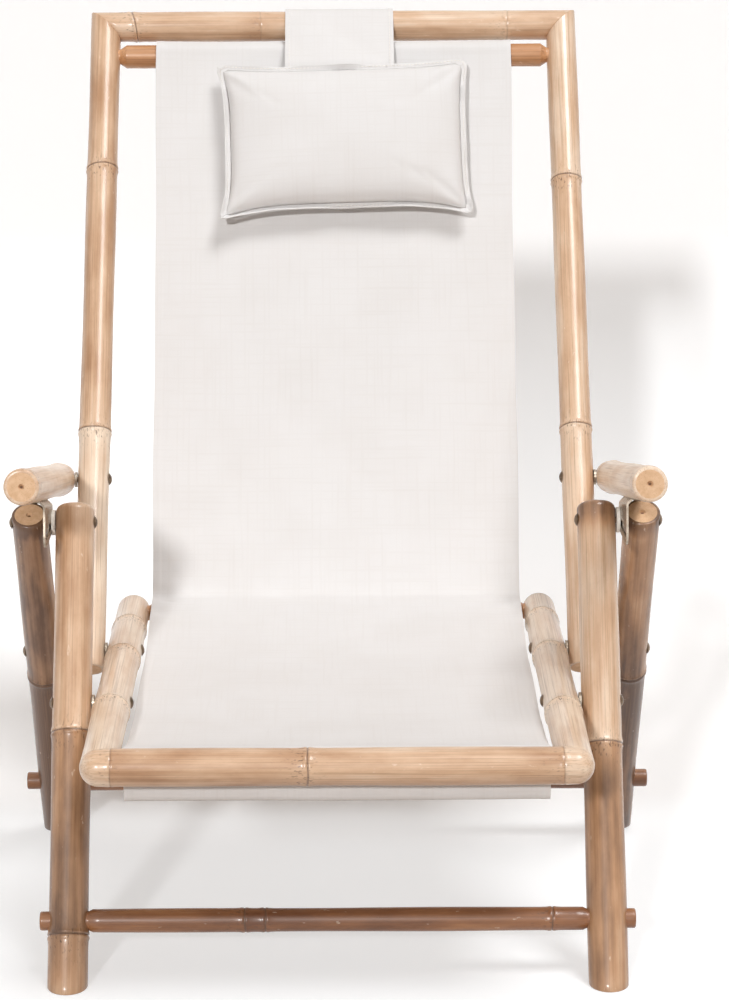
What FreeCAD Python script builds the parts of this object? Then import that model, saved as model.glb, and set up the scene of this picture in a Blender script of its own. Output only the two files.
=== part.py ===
import FreeCAD
import Part
import math
import os

import Sketcher

# Bamboo deck chair with a sling seat and a back that reclines in three steps.
# Lengths are millimetres and angles are degrees. X runs to the sitter's left,
# Y from the front rail to the back, Z up from the floor. The origin lies on
# the floor below the middle of the chair.

Vector = FreeCAD.Vector

DRIVING = {
    # Layout of the side frames, measured from the foot of the front leg
    "seat_half_width": 216.0,
    "seat_height": 240.0,
    "seat_front_reach": 72.5,
    "seat_rear_reach": 157.0,
    "hinge_height": 398.5,
    "hinge_reach": 216.5,
    "rear_foot_reach": 466.5,
    "back_angle": 52.9,
    "back_length": 743.5,
    "back_tail": 21.0,
    "front_leg_head": 17.0,
    "rear_leg_head": 11.0,
    # Culm radii
    "front_leg_radius": 19.0,
    "rear_leg_radius": 17.5,
    "seat_pole_radius": 17.25,
    "back_pole_radius": 16.5,
    "armrest_radius": 16.7,
    # Node of the bamboo: a ridge with a scar groove above it
    "node_ridge": 1.1,
    "node_groove": 0.5,
    "node_swell": 9.0,
    "node_step": 2.6,
    "pith_radius": 1.6,
    "pith_depth": 5.0,
    "end_bevel": 1.8,
    "leg_top_round": 7.0,
    # Cross pieces
    "stretcher_radius": 11.25,
    "stretcher_tenon_radius": 9.2,
    "shoulder_length": 4.0,
    "tenon_overhang": 8.0,
    "rear_tenon_overhang": 12.5,
    "front_stretcher_height": 55.0,
    "rear_stretcher_height": 65.0,
    "sling_bar_radius": 12.5,
    "sling_bar_tenon_radius": 8.0,
    "sling_bar_taper": 7.0,
    "top_bar_drop": 38.7,
    "front_bar_setback": 34.0,
    "front_bar_drop": 6.0,
    "rear_bar_inset": 12.0,
    "dowel_radius": 4.0,
    "dowel_depth": 22.0,
    "dowel_reach": 9.0,
    # Gaps between the layers of the side frame
    "side_gap": 3.0,
    "hinge_gap": 8.0,
    "running_gap": 0.3,
    "running_fit": 0.1,
    "joint_fit": 0.05,
    "glue_line": 0.1,
    # Connector bolts with sleeve nuts
    "bolt_radius": 3.0,
    "sleeve_radius": 4.0,
    "sleeve_length": 14.0,
    "sleeve_reserve": 3.0,
    "bolt_head_radius": 6.3,
    "bolt_head_height": 2.8,
    "washer_radius": 8.0,
    "spacer_radius": 12.5,
    "spacer_thickness": 3.4,
    # Armrest and its notched bracket
    "armrest_pivot_reach": 191.3,
    "hinge_drop": 38.5,
    "armrest_tail": 19.0,
    "armrest_length": 410.0,
    "recline_middle": 14.5,
    "recline_full": 25.5,
    "bracket_thickness": 2.0,
    "bracket_margin": 7.0,
    "bracket_flange": 10.0,
    "bracket_jog": 5.2,
    "bracket_bend": 3.0,
    "flange_flat": 1.5,
    "slot_clearance": 1.0,
    "notch_depth": 5.0,
    "notch_clearance": 0.5,
    "screw_radius": 1.8,
    "screw_length": 11.0,
    "screw_head_radius": 3.4,
    "screw_head_height": 1.8,
    "screw_inset": 9.0,
    # Sling
    "cloth_thickness": 1.6,
    "sling_side_gap": 3.25,
    "rear_dip": 6.0,
    "rear_dip_setback": 15.0,
    "middle_dip": 13.0,
    "middle_dip_setback": 10.0,
    "front_dip": 9.0,
    "front_dip_setback": 55.0,
    "crease_setback": 10.4,
    "crease_radius": 8.0,
    "sag_radius": 320.0,
    "sleeve_hang": 26.0,
    "sleeve_fold_radius": 8.5,
    "sleeve_fold_turn": 149.0,
    "sleeve_seam_gap": 6.0,
    "hem_length": 26.0,
    # Head pillow and its strap
    "pillow_width": 282.0,
    "pillow_height": 184.0,
    "pillow_front_crown": 34.0,
    "pillow_back_crown": 18.0,
    "pillow_draw_in": 9.0,
    "pillow_flange": 14.0,
    "pillow_flange_thickness": 3.0,
    "pillow_top_drop": 16.0,
    "pillow_shift": 11.0,
    "pillow_tilt": 1.4,
    "strap_shift": 6.6,
    "strap_width": 120.0,
    "strap_thickness": 2.4,
    "strap_tail": 130.0,
    "strap_overlap": 4.0,
    "strap_bend_radius": 4.0,
}

# How far a cutting shape runs past the stock: a length, and shares of a culm's radius
OVERRUN = 1.0
MITRE_OVERRUN = 1.5
FOOT_OVERRUN = 2.0

# Least volume that a cut must take away to count as one
LEAST_CUT = 1.0

# Coordinates below this are taken as lying on an axis of their sketch
ON_AXIS = 1e-9

# Steps of an eased rim: a plain bevel, and a rounded head
BEVEL_STEPS = 1
HEAD_STEPS = 3

# Rise of the filled pillow towards its middle, as (share of the seam's outline,
# share of the crown)
PILLOW_BACK_PROFILE = ((0.3, 1.0), (0.66, 0.85), (0.88, 0.5))
PILLOW_FRONT_PROFILE = ((0.93, 0.34), (0.8, 0.66), (0.6, 0.87), (0.28, 1.0))

# Place of each node ring as a share of its culm's length, from the start of its
# axis; on a cross piece as a share of the half width, from the middle
NODE_RINGS = {
    "right_front_leg": (0.106, 0.538),
    "left_front_leg": (0.507,),
    "right_rear_leg": (0.529,),
    "left_rear_leg": (0.538,),
    "right_seat_pole": (0.316, 0.641, 0.848),
    "left_seat_pole": (0.289, 0.648, 0.888),
    "right_back_pole": (0.330, 0.755),
    "left_back_pole": (0.332, 0.733),
    "seat_front_rail": (-0.125,),
    "back_top_rail": (-0.875, -0.32, 0.763),
    "front_stretcher": (-0.345, -0.27, 0.795),
    "rear_stretcher": (-0.5, 0.32),
    "right_armrest": (0.046, 0.968),
    "left_armrest": (0.051, 0.962),
}

FRONT_LEG_X = ("(Size.seat_half_width + Size.seat_pole_radius + Size.side_gap"
               " + Size.front_leg_radius)")
SLING_HALF_WIDTH = "(Size.seat_half_width - Size.seat_pole_radius - Size.sling_side_gap)"
BACK_POLE_X = ("(Size.seat_half_width + Size.seat_pole_radius + Size.side_gap"
               " + Size.back_pole_radius)")
REAR_LEG_X = f"({FRONT_LEG_X} + Size.front_leg_radius + Size.hinge_gap + Size.rear_leg_radius)"
ARMREST_X = f"({BACK_POLE_X} + Size.back_pole_radius + Size.side_gap + Size.armrest_radius)"
REAR_LEG_RUN = "(Size.rear_foot_reach - Size.hinge_reach)"
FRONT_LEG_LENGTH = "sqrt(Size.hinge_reach^2 + Size.hinge_height^2)"
REAR_LEG_LENGTH = f"sqrt({REAR_LEG_RUN}^2 + Size.hinge_height^2)"
SEAT_BOLT_Y = "(Size.hinge_reach * Size.seat_height / Size.hinge_height)"
PIVOT_Y = (f"(Size.rear_foot_reach - {REAR_LEG_RUN} * Size.seat_height"
           " / Size.hinge_height)")
SEAT_POLE_LENGTH = f"({PIVOT_Y} + Size.seat_front_reach + Size.seat_rear_reach)"

# Length that the shares of a culm's node rings are taken of
RING_SPAN = {
    "right_front_leg": FRONT_LEG_LENGTH,
    "left_front_leg": FRONT_LEG_LENGTH,
    "right_rear_leg": REAR_LEG_LENGTH,
    "left_rear_leg": REAR_LEG_LENGTH,
    "right_seat_pole": SEAT_POLE_LENGTH,
    "left_seat_pole": SEAT_POLE_LENGTH,
    "right_back_pole": "Size.back_length",
    "left_back_pole": "Size.back_length",
    "seat_front_rail": "Size.seat_half_width",
    "back_top_rail": BACK_POLE_X,
    "front_stretcher": FRONT_LEG_X,
    "rear_stretcher": REAR_LEG_X,
    "right_armrest": "Size.armrest_length",
    "left_armrest": "Size.armrest_length",
}

document = FreeCAD.newDocument("deck_chair")
sheet = document.addObject("Spreadsheet::Sheet", "Size")


def fill_sheet():
    """Write every driving dimension and node ring to the sheet with its alias."""
    named = dict(DRIVING)
    for culm, rings in NODE_RINGS.items():
        for number, share in enumerate(rings, 1):
            named[f"{culm}_ring_{number}"] = share
    for row, (alias, size) in enumerate(named.items(), 1):
        sheet.set(f"A{row}", alias)
        sheet.set(f"B{row}", str(size))
        sheet.setAlias(f"B{row}", alias)
    document.recompute()


fill_sheet()


def value(expression):
    """Return the number that an expression over the sheet gives."""
    result = sheet.evalExpression(expression)
    return float(getattr(result, "Value", result))


def size(alias):
    """Return one driving dimension."""
    return value(f"Size.{alias}")


# Points of the side view, as (y, z) from the foot of the front leg
HINGE = (size("hinge_reach"), size("hinge_height"))
SEAT_BOLT = (value(SEAT_BOLT_Y), size("seat_height"))
PIVOT = (value(PIVOT_Y), size("seat_height"))
BACK_ANGLE = math.radians(size("back_angle"))
BACK_DIRECTION = (math.cos(BACK_ANGLE), math.sin(BACK_ANGLE))


def along(start, direction, distance):
    """Return the point at a distance from start along a unit direction."""
    return (start[0] + direction[0] * distance, start[1] + direction[1] * distance)


def unit(start, end):
    """Return the unit direction from start to end."""
    length = math.dist(start, end)
    return ((end[0] - start[0]) / length, (end[1] - start[1]) / length)


TOP_RAIL = along(PIVOT, BACK_DIRECTION, size("back_length"))
TOP_BAR = along(PIVOT, BACK_DIRECTION, size("back_length") - size("top_bar_drop"))
ARMREST_PIVOT = along(PIVOT, BACK_DIRECTION, size("armrest_pivot_reach"))
HINGE_SIGHT = unit(ARMREST_PIVOT, HINGE)
ARMREST_RISE = (math.atan2(HINGE_SIGHT[1], -HINGE_SIGHT[0])
                + math.asin(size("hinge_drop") / math.dist(ARMREST_PIVOT, HINGE)))
ARMREST_DIRECTION = (-math.cos(ARMREST_RISE), math.sin(ARMREST_RISE))
FRONT_RAIL = (-size("seat_front_reach"), size("seat_height"))
FRONT_BAR = (FRONT_RAIL[0] + size("front_bar_setback"),
             size("seat_height") - size("front_bar_drop"))
REAR_BAR = (PIVOT[0] + size("seat_rear_reach") - size("rear_bar_inset"), size("seat_height"))

# The origin lies half way between the front rail and the strap behind the back
FRONT_FACE = FRONT_RAIL[0] - size("seat_pole_radius")
REAR_FACE = (TOP_RAIL[0] + size("back_pole_radius") + size("running_gap")
             + size("strap_thickness"))
MIDDLE = (FRONT_FACE + REAR_FACE) / 2.0


def world(x, point):
    """Return the 3-D place of a side-view point in the plane at x."""
    return Vector(x, point[0] - MIDDLE, point[1])


def side_frame(x, point, direction):
    """Placement whose Z runs along a side-view direction and whose X stays X."""
    z_axis = Vector(0.0, direction[0], direction[1])
    x_axis = Vector(1.0, 0.0, 0.0)
    rotation = FreeCAD.Rotation(x_axis, z_axis.cross(x_axis), z_axis, "ZXY")
    return FreeCAD.Placement(world(x, point), rotation)


def cross_frame(point, outward):
    """Placement whose Z runs across the chair and whose X points outward."""
    x_axis = Vector(0.0, outward[0], outward[1])
    z_axis = Vector(1.0, 0.0, 0.0)
    rotation = FreeCAD.Rotation(x_axis, z_axis.cross(x_axis), z_axis, "ZXY")
    return FreeCAD.Placement(world(0.0, point), rotation)


def origin_plane(body, role):
    """Find one of a body's own origin planes by its role."""
    return [item for item in body.Origin.OriginFeatures if item.Role == role][0]


def pin_coordinate(sketch, kind, index, expression):
    """Bind one coordinate of a line's start point to an expression."""
    axis = -2 if kind == "DistanceX" else -1
    amount = value(expression)
    if abs(amount) < ON_AXIS:
        sketch.addConstraint(Sketcher.Constraint("PointOnObject", index, 1, axis))
        return
    if amount > 0:
        constraint = Sketcher.Constraint(kind, -1, 1, index, 1, amount)
    else:
        constraint = Sketcher.Constraint(kind, index, 1, -1, 1, -amount)
        expression = f"-({expression})"
    number = sketch.addConstraint(constraint)
    sketch.setExpression(f"Constraints[{number}]", expression)


def polygon_sketch(body, name, role, corners, offset="0"):
    """Closed sketch on an origin plane whose corners follow expressions.

    A corner is (across, up). A third entry makes the edge that follows it an arc
    round the point at that height on the axis.
    """
    sketch = body.newObject("Sketcher::SketchObject", name)
    sketch.AttachmentSupport = [(origin_plane(body, role), "")]
    sketch.MapMode = "FlatFace"
    sketch.setExpression("AttachmentOffset.Base.z", offset)
    places = [Vector(value(corner[0]), value(corner[1]), 0.0) for corner in corners]
    for corner, start, end in zip(corners, places, places[1:] + places[:1]):
        if len(corner) == 2:
            sketch.addGeometry(Part.LineSegment(start, end), False)
            continue
        centre = Vector(0.0, value(corner[2]), 0.0)
        angles = [math.atan2(spot.y - centre.y, spot.x - centre.x) for spot in (start, end)]
        circle = Part.Circle(centre, Vector(0.0, 0.0, 1.0), (start - centre).Length)
        sketch.addGeometry(Part.ArcOfCircle(circle, *angles), False)
    count = len(corners)
    for index in range(count):
        joined = Sketcher.Constraint("Coincident", index, 2, (index + 1) % count, 1)
        sketch.addConstraint(joined)
    for index, corner in enumerate(corners):
        pin_coordinate(sketch, "DistanceX", index, corner[0])
        pin_coordinate(sketch, "DistanceY", index, corner[1])
        if len(corner) == 3:
            sketch.addConstraint(Sketcher.Constraint("PointOnObject", index, 3, -2))
    return sketch


def circle_sketch(body, name, role, centres, radius, offset="0"):
    """Sketch of equal circles on an origin plane, bound to expressions."""
    sketch = body.newObject("Sketcher::SketchObject", name)
    sketch.AttachmentSupport = [(origin_plane(body, role), "")]
    sketch.MapMode = "FlatFace"
    sketch.setExpression("AttachmentOffset.Base.z", offset)
    for index, (across, up) in enumerate(centres):
        centre = Vector(value(across), value(up), 0.0)
        sketch.addGeometry(Part.Circle(centre, Vector(0, 0, 1), value(radius)), False)
        number = sketch.addConstraint(Sketcher.Constraint("Radius", index, value(radius)))
        sketch.setExpression(f"Constraints[{number}]", radius)
        for kind, axis, expression in (("DistanceX", -2, across), ("DistanceY", -1, up)):
            amount = value(expression)
            if abs(amount) < ON_AXIS:
                sketch.addConstraint(Sketcher.Constraint("PointOnObject", index, 3, axis))
            elif amount > 0:
                number = sketch.addConstraint(
                    Sketcher.Constraint(kind, -1, 1, index, 3, amount))
                sketch.setExpression(f"Constraints[{number}]", expression)
            else:
                number = sketch.addConstraint(
                    Sketcher.Constraint(kind, index, 3, -1, 1, -amount))
                sketch.setExpression(f"Constraints[{number}]", f"-({expression})")
    return sketch


def pocket(body, name, sketch, side):
    """Cut a sketch through all: both ways, along its normal or against it."""
    document.recompute()
    before = body.Tip.Shape.Volume
    removal = body.newObject("PartDesign::Pocket", name)
    removal.Profile = sketch
    removal.Type = "ThroughAll"
    removal.SideType = "Symmetric" if side == "both" else "One side"
    removal.Reversed = side == "along"
    document.recompute()
    if not removal.Shape.Volume < before - LEAST_CUT:
        raise ValueError(f"{body.Label}: {name} cuts nothing")


def ring_corners(name, radius, swell):
    """Outline corners of a culm's node rings: the ridge and the scar above it."""
    corners = []
    for number in range(1, len(NODE_RINGS[name]) + 1):
        crest = f"Size.{name}_ring_{number} * {RING_SPAN[name]}"
        corners.append((radius, f"{crest} - {swell}"))
        corners.append((f"{radius} + Size.node_ridge", crest))
        corners.append((f"{radius} - Size.node_groove", f"{crest} + Size.node_step"))
        corners.append((radius, f"{crest} + 2 * Size.node_step"))
    return corners


def rim_corners(radius, end, ease, steps, sign):
    """Outline of an eased rim, from the side to the end face, in straight steps."""
    corners = []
    for step in range(steps + 1):
        angle = 90.0 * step / steps
        corners.append((f"{radius} - {ease} * (1 - cos({angle}))",
                        f"{end} - {sign} * {ease} * (1 - sin({angle}))"))
    return corners


def culm(name, radius, start, end, balls=(), end_round=None, pith=False):
    """Bamboo culm with its node rings, running along its own Z axis.

    The ends named in balls, "start" or "end", are half balls. The other rims have
    a small bevel, or at the end the rounding that is given.
    """
    if "start" in balls:
        centre = f"{start} + {radius}"
        corners = [("0", start, centre), (radius, centre)]
    else:
        rim = rim_corners(radius, start, "Size.end_bevel", BEVEL_STEPS, -1)
        corners = [("0", start)] + rim[::-1]
    corners += ring_corners(name, radius, "Size.node_swell")
    if "end" in balls:
        centre = f"{end} - {radius}"
        corners += [(radius, centre, centre), ("0", end)]
        return turned_body(name, corners)
    if end_round:
        corners += rim_corners(radius, end, end_round, HEAD_STEPS, 1)
    else:
        corners += rim_corners(radius, end, "Size.end_bevel", BEVEL_STEPS, 1)
    if pith:
        corners.append(("Size.pith_radius", end))
        corners.append(("Size.pith_radius", f"{end} - Size.pith_depth"))
        corners.append(("0", f"{end} - Size.pith_depth"))
    else:
        corners.append(("0", end))
    return turned_body(name, corners)


def turned_body(name, corners):
    """Body turned about its Z axis from a half outline."""
    body = document.addObject("PartDesign::Body", name)
    body.Label = name
    sketch = polygon_sketch(body, f"{name}_profile", "XZ_Plane", corners)
    revolution = body.newObject("PartDesign::Revolution", f"{name}_turned")
    revolution.Profile = sketch
    revolution.ReferenceAxis = (sketch, ["V_Axis"])
    revolution.Angle = 360
    document.recompute()
    return body


def cross_holes(body, name, centres, radius):
    """Holes right through a culm along X, at (y, z) places."""
    pocket(body, name, circle_sketch(body, f"{name}_circles", "YZ_Plane", centres, radius), "both")


def blind_hole(body, name, centre, radius, side):
    """Socket from the culm's axis out through the side that faces the middle."""
    sketch = circle_sketch(body, f"{name}_circle", "YZ_Plane", [centre], radius)
    pocket(body, name, sketch, "against" if side > 0 else "along")


def mitre_corners(edge, side, length, reach):
    """Triangle beyond a 45 degree mitre that ends on the outer side.

    The cut stops one glue line short of the corner.
    """
    inner = f"{-side} * {reach}"
    outer = f"{side} * {reach}"
    glued = f"({length} - Size.glue_line)"
    return [(inner, f"{edge} * ({glued} - {reach})"),
            (outer, f"{edge} * ({glued} + {reach})"),
            (inner, f"{edge} * ({glued} + {reach})")]


def level_foot(body, name, radius, slope):
    """Cut the culm's lower end level with the floor."""
    reach = f"({FOOT_OVERRUN} * {radius})"
    corners = [(f"-{reach}", f"-{reach} * {slope}"), (reach, f"{reach} * {slope}"),
               (reach, f"-{FOOT_OVERRUN} * {reach}"), (f"-{reach}", f"-{FOOT_OVERRUN} * {reach}")]
    pocket(body, name, polygon_sketch(body, f"{name}_outline", "YZ_Plane", corners), "both")


SHANK_HOLE = "(Size.bolt_radius + Size.running_fit)"
SLEEVE_HOLE = "(Size.sleeve_radius + Size.running_fit)"
STRETCHER_HOLE = "(Size.stretcher_tenon_radius + Size.joint_fit)"
BAR_HOLE = "(Size.sling_bar_tenon_radius + Size.joint_fit)"
DOWEL_HOLE = "(Size.dowel_radius + Size.joint_fit)"

SIDES = (("right", -1), ("left", 1))


def front_legs():
    """Front legs: level feet, rounded heads, holes for hinge, seat and stretcher."""
    slope = "(Size.hinge_reach / Size.hinge_height)"
    scale = f"({FRONT_LEG_LENGTH} / Size.hinge_height)"
    for word, side in SIDES:
        name = f"{word}_front_leg"
        end = f"{FRONT_LEG_LENGTH} + Size.front_leg_head"
        leg = culm(name, "Size.front_leg_radius", "-Size.front_leg_radius", end,
                   end_round="Size.leg_top_round")
        level_foot(leg, f"{name}_foot", "Size.front_leg_radius", slope)
        cross_holes(leg, f"{name}_stretcher_hole",
                    [("0", f"Size.front_stretcher_height * {scale}")], STRETCHER_HOLE)
        cross_holes(leg, f"{name}_hinge_hole", [("0", FRONT_LEG_LENGTH)], SHANK_HOLE)
        cross_holes(leg, f"{name}_seat_hole", [("0", f"Size.seat_height * {scale}")],
                    SLEEVE_HOLE)
        leg.Placement = side_frame(side * value(FRONT_LEG_X), (0.0, 0.0), unit((0, 0), HINGE))


def rear_legs():
    """Rear legs: level feet, flat heads, holes for hinge, pivot and stretcher."""
    foot = (size("rear_foot_reach"), 0.0)
    slope = f"(-{REAR_LEG_RUN} / Size.hinge_height)"
    scale = f"({REAR_LEG_LENGTH} / Size.hinge_height)"
    for word, side in SIDES:
        name = f"{word}_rear_leg"
        end = f"{REAR_LEG_LENGTH} + Size.rear_leg_head"
        leg = culm(name, "Size.rear_leg_radius", "-Size.rear_leg_radius", end, pith=True)
        level_foot(leg, f"{name}_foot", "Size.rear_leg_radius", slope)
        cross_holes(leg, f"{name}_stretcher_hole",
                    [("0", f"Size.rear_stretcher_height * {scale}")], STRETCHER_HOLE)
        bolts = [("0", REAR_LEG_LENGTH), ("0", f"Size.seat_height * {scale}")]
        cross_holes(leg, f"{name}_bolt_holes", bolts, SLEEVE_HOLE)
        leg.Placement = side_frame(side * value(REAR_LEG_X), foot, unit(foot, HINGE))


def stretcher(name, leg_x, leg_radius, overhang, place):
    """Cross rail with shoulders and tenons that pass through both legs."""
    tenon = "Size.stretcher_tenon_radius"
    full = "Size.stretcher_radius"
    tip = f"({leg_x} + Size.{leg_radius} + Size.{overhang})"
    shoulder = f"({leg_x} - Size.{leg_radius} - Size.running_gap)"
    corners = [("0", f"-{tip}"), (f"{tenon} - Size.end_bevel", f"-{tip}"),
               (tenon, f"-{tip} + Size.end_bevel"), (tenon, f"-{shoulder}"),
               (full, f"-{shoulder} + Size.shoulder_length")]
    corners += ring_corners(name, full, "Size.node_swell / 2")
    corners += [(full, f"{shoulder} - Size.shoulder_length"), (tenon, shoulder),
                (tenon, f"{tip} - Size.end_bevel"), (f"{tenon} - Size.end_bevel", tip),
                ("0", tip)]
    body = turned_body(name, corners)
    body.Placement = cross_frame(place, (-1.0, 0.0))


def stretchers():
    """The two cross rails between the feet."""
    front = unit((0.0, 0.0), HINGE)
    foot = (size("rear_foot_reach"), 0.0)
    rear = unit(foot, HINGE)
    front_place = along((0.0, 0.0), front, size("front_stretcher_height") / front[1])
    rear_place = along(foot, rear, size("rear_stretcher_height") / rear[1])
    stretcher("front_stretcher", FRONT_LEG_X, "front_leg_radius", "tenon_overhang", front_place)
    stretcher("rear_stretcher", REAR_LEG_X, "rear_leg_radius", "rear_tenon_overhang", rear_place)


def sling_bar(name, pole_x, pole_radius, place):
    """Thin bar for the sling, tapered at both ends into blind tenons."""
    tenon = "Size.sling_bar_tenon_radius"
    full = "Size.sling_bar_radius"
    tip = f"({pole_x} - Size.running_gap)"
    shoulder = f"({pole_x} - Size.{pole_radius} - Size.running_gap)"
    corners = [("0", f"-{tip}"), (tenon, f"-{tip}"), (tenon, f"-{shoulder}"),
               (full, f"-{shoulder} + Size.sling_bar_taper"),
               (full, f"{shoulder} - Size.sling_bar_taper"), (tenon, shoulder),
               (tenon, tip), ("0", tip)]
    body = turned_body(name, corners)
    body.Placement = cross_frame(place, (-1.0, 0.0))


def mitred_rail(name, half_width, radius, place, outward, ball_corners):
    """Rail mitred to the side poles at both ends, with sockets for the dowels."""
    tip = f"({half_width} + Size.{radius})"
    balls = ("start", "end") if ball_corners else ()
    body = culm(name, f"Size.{radius}", f"-{tip}", tip, balls)
    reach = f"({MITRE_OVERRUN} * Size.{radius})"
    for word, edge in (("far", 1), ("near", -1)):
        sketch = polygon_sketch(body, f"{name}_{word}_mitre_outline", "XZ_Plane",
                                mitre_corners(edge, 1, half_width, reach))
        pocket(body, f"{name}_{word}_mitre", sketch, "both")
    centres = [("0", half_width), ("0", f"-{half_width}")]
    sockets = circle_sketch(body, f"{name}_dowel_circles", "YZ_Plane", centres, DOWEL_HOLE,
                            "Size.dowel_reach + Size.running_gap")
    pocket(body, f"{name}_dowel_holes", sockets, "against")
    body.Placement = cross_frame(place, outward)


def mitred_pole(name, radius, start, length, side):
    """Side pole of a mitred frame with the socket for its corner dowel."""
    body = culm(name, f"Size.{radius}", start, f"{length} + Size.{radius}")
    sketch = polygon_sketch(body, f"{name}_mitre_outline", "XZ_Plane",
                            mitre_corners(1, side, length, f"({MITRE_OVERRUN} * Size.{radius})"))
    pocket(body, f"{name}_mitre", sketch, "both")
    socket = circle_sketch(body, f"{name}_dowel_circle", "XY_Plane", [("0", "0")], DOWEL_HOLE,
                           f"{length} - Size.dowel_depth - Size.running_gap")
    pocket(body, f"{name}_dowel_hole", socket, "along")
    return body


def seat_frame():
    """Seat: two side poles mitred to the front rail, and its two sling bars."""
    length = f"({PIVOT_Y} + Size.seat_front_reach)"
    bolt = f"({PIVOT_Y} - {SEAT_BOLT_Y})"
    for word, side in SIDES:
        name = f"{word}_seat_pole"
        body = mitred_seat_pole(name, side, length, bolt)
        body.Placement = side_frame(side * size("seat_half_width"), FRONT_RAIL, (1.0, 0.0))
    mitred_rail("seat_front_rail", "Size.seat_half_width", "seat_pole_radius", FRONT_RAIL,
                (-1.0, 0.0), True)
    sling_bar("seat_front_bar", "Size.seat_half_width", "seat_pole_radius", FRONT_BAR)
    sling_bar("seat_rear_bar", "Size.seat_half_width", "seat_pole_radius", REAR_BAR)


def mitred_seat_pole(name, side, length, bolt):
    """Seat pole along its own Z from the front rail to behind the pivot."""
    radius = "Size.seat_pole_radius"
    end = f"{length} + Size.seat_rear_reach"
    body = culm(name, radius, f"-{radius}", end, balls=("start",), pith=True)
    reach = f"({MITRE_OVERRUN} * {radius})"
    sketch = polygon_sketch(body, f"{name}_mitre_outline", "XZ_Plane",
                            mitre_corners(-1, side, "0", reach))
    pocket(body, f"{name}_mitre", sketch, "both")
    socket = circle_sketch(body, f"{name}_dowel_circle", "XY_Plane", [("0", "0")], DOWEL_HOLE,
                           "Size.dowel_depth + Size.running_gap")
    pocket(body, f"{name}_dowel_hole", socket, "against")
    centres = [("0", length), ("0", f"{length} - {bolt}")]
    cross_holes(body, f"{name}_bolt_holes", centres, SHANK_HOLE)
    blind_hole(body, f"{name}_front_bar_hole",
               ("Size.front_bar_drop", "Size.front_bar_setback"), BAR_HOLE, side)
    blind_hole(body, f"{name}_rear_bar_hole", ("0", f"{end} - Size.rear_bar_inset"), BAR_HOLE,
               side)
    return body


def back_frame():
    """Back: two side poles mitred to the top rail, and the top sling bar."""
    for word, side in SIDES:
        name = f"{word}_back_pole"
        body = mitred_pole(name, "back_pole_radius", "-Size.back_tail", "Size.back_length", side)
        cross_holes(body, f"{name}_bolt_holes", [("0", "0"), ("0", "Size.armrest_pivot_reach")],
                    SHANK_HOLE)
        blind_hole(body, f"{name}_bar_hole", ("0", "Size.back_length - Size.top_bar_drop"),
                   BAR_HOLE, side)
        body.Placement = side_frame(side * value(BACK_POLE_X), PIVOT, BACK_DIRECTION)
    mitred_rail("back_top_rail", BACK_POLE_X, "back_pole_radius", TOP_RAIL, BACK_DIRECTION,
                False)
    sling_bar("back_sling_bar", BACK_POLE_X, "back_pole_radius", TOP_BAR)


def cylinder(name, radius, length, placement):
    """Cylinder bound to two expressions, along the Z of its placement."""
    solid = document.addObject("Part::Cylinder", name)
    solid.setExpression("Radius", radius)
    solid.setExpression("Height", length)
    solid.Placement = placement
    return solid


def dome(name, radius, rise, placement):
    """Low round head: the cap of a sphere, flat side at its placement."""
    ball = f"(({radius}^2 + {rise}^2) / (2 * {rise}))"
    solid = document.addObject("Part::Sphere", name)
    solid.setExpression("Radius", ball)
    solid.setExpression("Angle1", f"asin(({ball} - {rise}) / {ball})")
    sunk = value(f"{ball} - {rise}")
    drop = placement.Rotation.multVec(Vector(0.0, 0.0, -sunk))
    solid.Placement = FreeCAD.Placement(placement.Base + drop, placement.Rotation)
    return solid


def fused(name, members):
    """Union of several members."""
    solid = document.addObject("Part::MultiFuse", name)
    solid.Shapes = members
    return solid


def cut(name, base, tool):
    """One member less another."""
    solid = document.addObject("Part::Cut", name)
    solid.Base = base
    solid.Tool = tool
    return solid


def pair(name, member):
    """Group of a left-hand piece and its mirror image."""
    image = document.addObject("Part::Mirroring", f"{name}_image")
    image.Source = member
    image.Base = Vector(0.0, 0.0, 0.0)
    image.Normal = Vector(1.0, 0.0, 0.0)
    group = document.addObject("Part::Compound", name)
    group.Label = name
    group.Links = [member, image]
    return group


def facing(x, point, sign):
    """Placement at a side-view point whose Z points out along +X or -X."""
    turn = FreeCAD.Rotation(Vector(0.0, 1.0, 0.0), 90.0 * sign)
    return FreeCAD.Placement(world(x, point), turn)


def connector(name, nut_name, inner_x, outer_x, point):
    """Bolt with a domed head on the inner side and its sleeve nut outside."""
    inner = value(inner_x)
    outer = value(outer_x)
    head = dome(f"{name}_head", "Size.bolt_head_radius", "Size.bolt_head_height",
                facing(inner, point, -1))
    shank = cylinder(f"{name}_shank", "Size.bolt_radius",
                     f"{outer_x} - {inner_x} - Size.sleeve_reserve", facing(inner, point, 1))
    pair(name, fused(f"{name}_one", [head, shank]))
    cap = dome(f"{nut_name}_head", "Size.bolt_head_radius", "Size.bolt_head_height",
               facing(outer, point, 1))
    barrel = cylinder(f"{nut_name}_barrel", "Size.sleeve_radius", "Size.sleeve_length",
                      facing(outer, point, -1))
    bore = cylinder(f"{nut_name}_bore", "Size.bolt_radius + Size.joint_fit",
                    "Size.sleeve_length", facing(outer - size("running_gap"), point, -1))
    nut = cut(f"{nut_name}_one", fused(f"{nut_name}_blank", [cap, barrel]), bore)
    pair(nut_name, nut)


def ring(name, radius, bore, thickness, near_x, point):
    """Washer or spacer round a bolt, one on each side of the chair."""
    disc = cylinder(f"{name}_disc", radius, thickness, facing(value(near_x), point, 1))
    hole = cylinder(f"{name}_hole", bore, f"{thickness} + {2.0 * OVERRUN}",
                    facing(value(near_x) - OVERRUN, point, 1))
    pair(name, cut(f"{name}_one", disc, hole))


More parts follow.
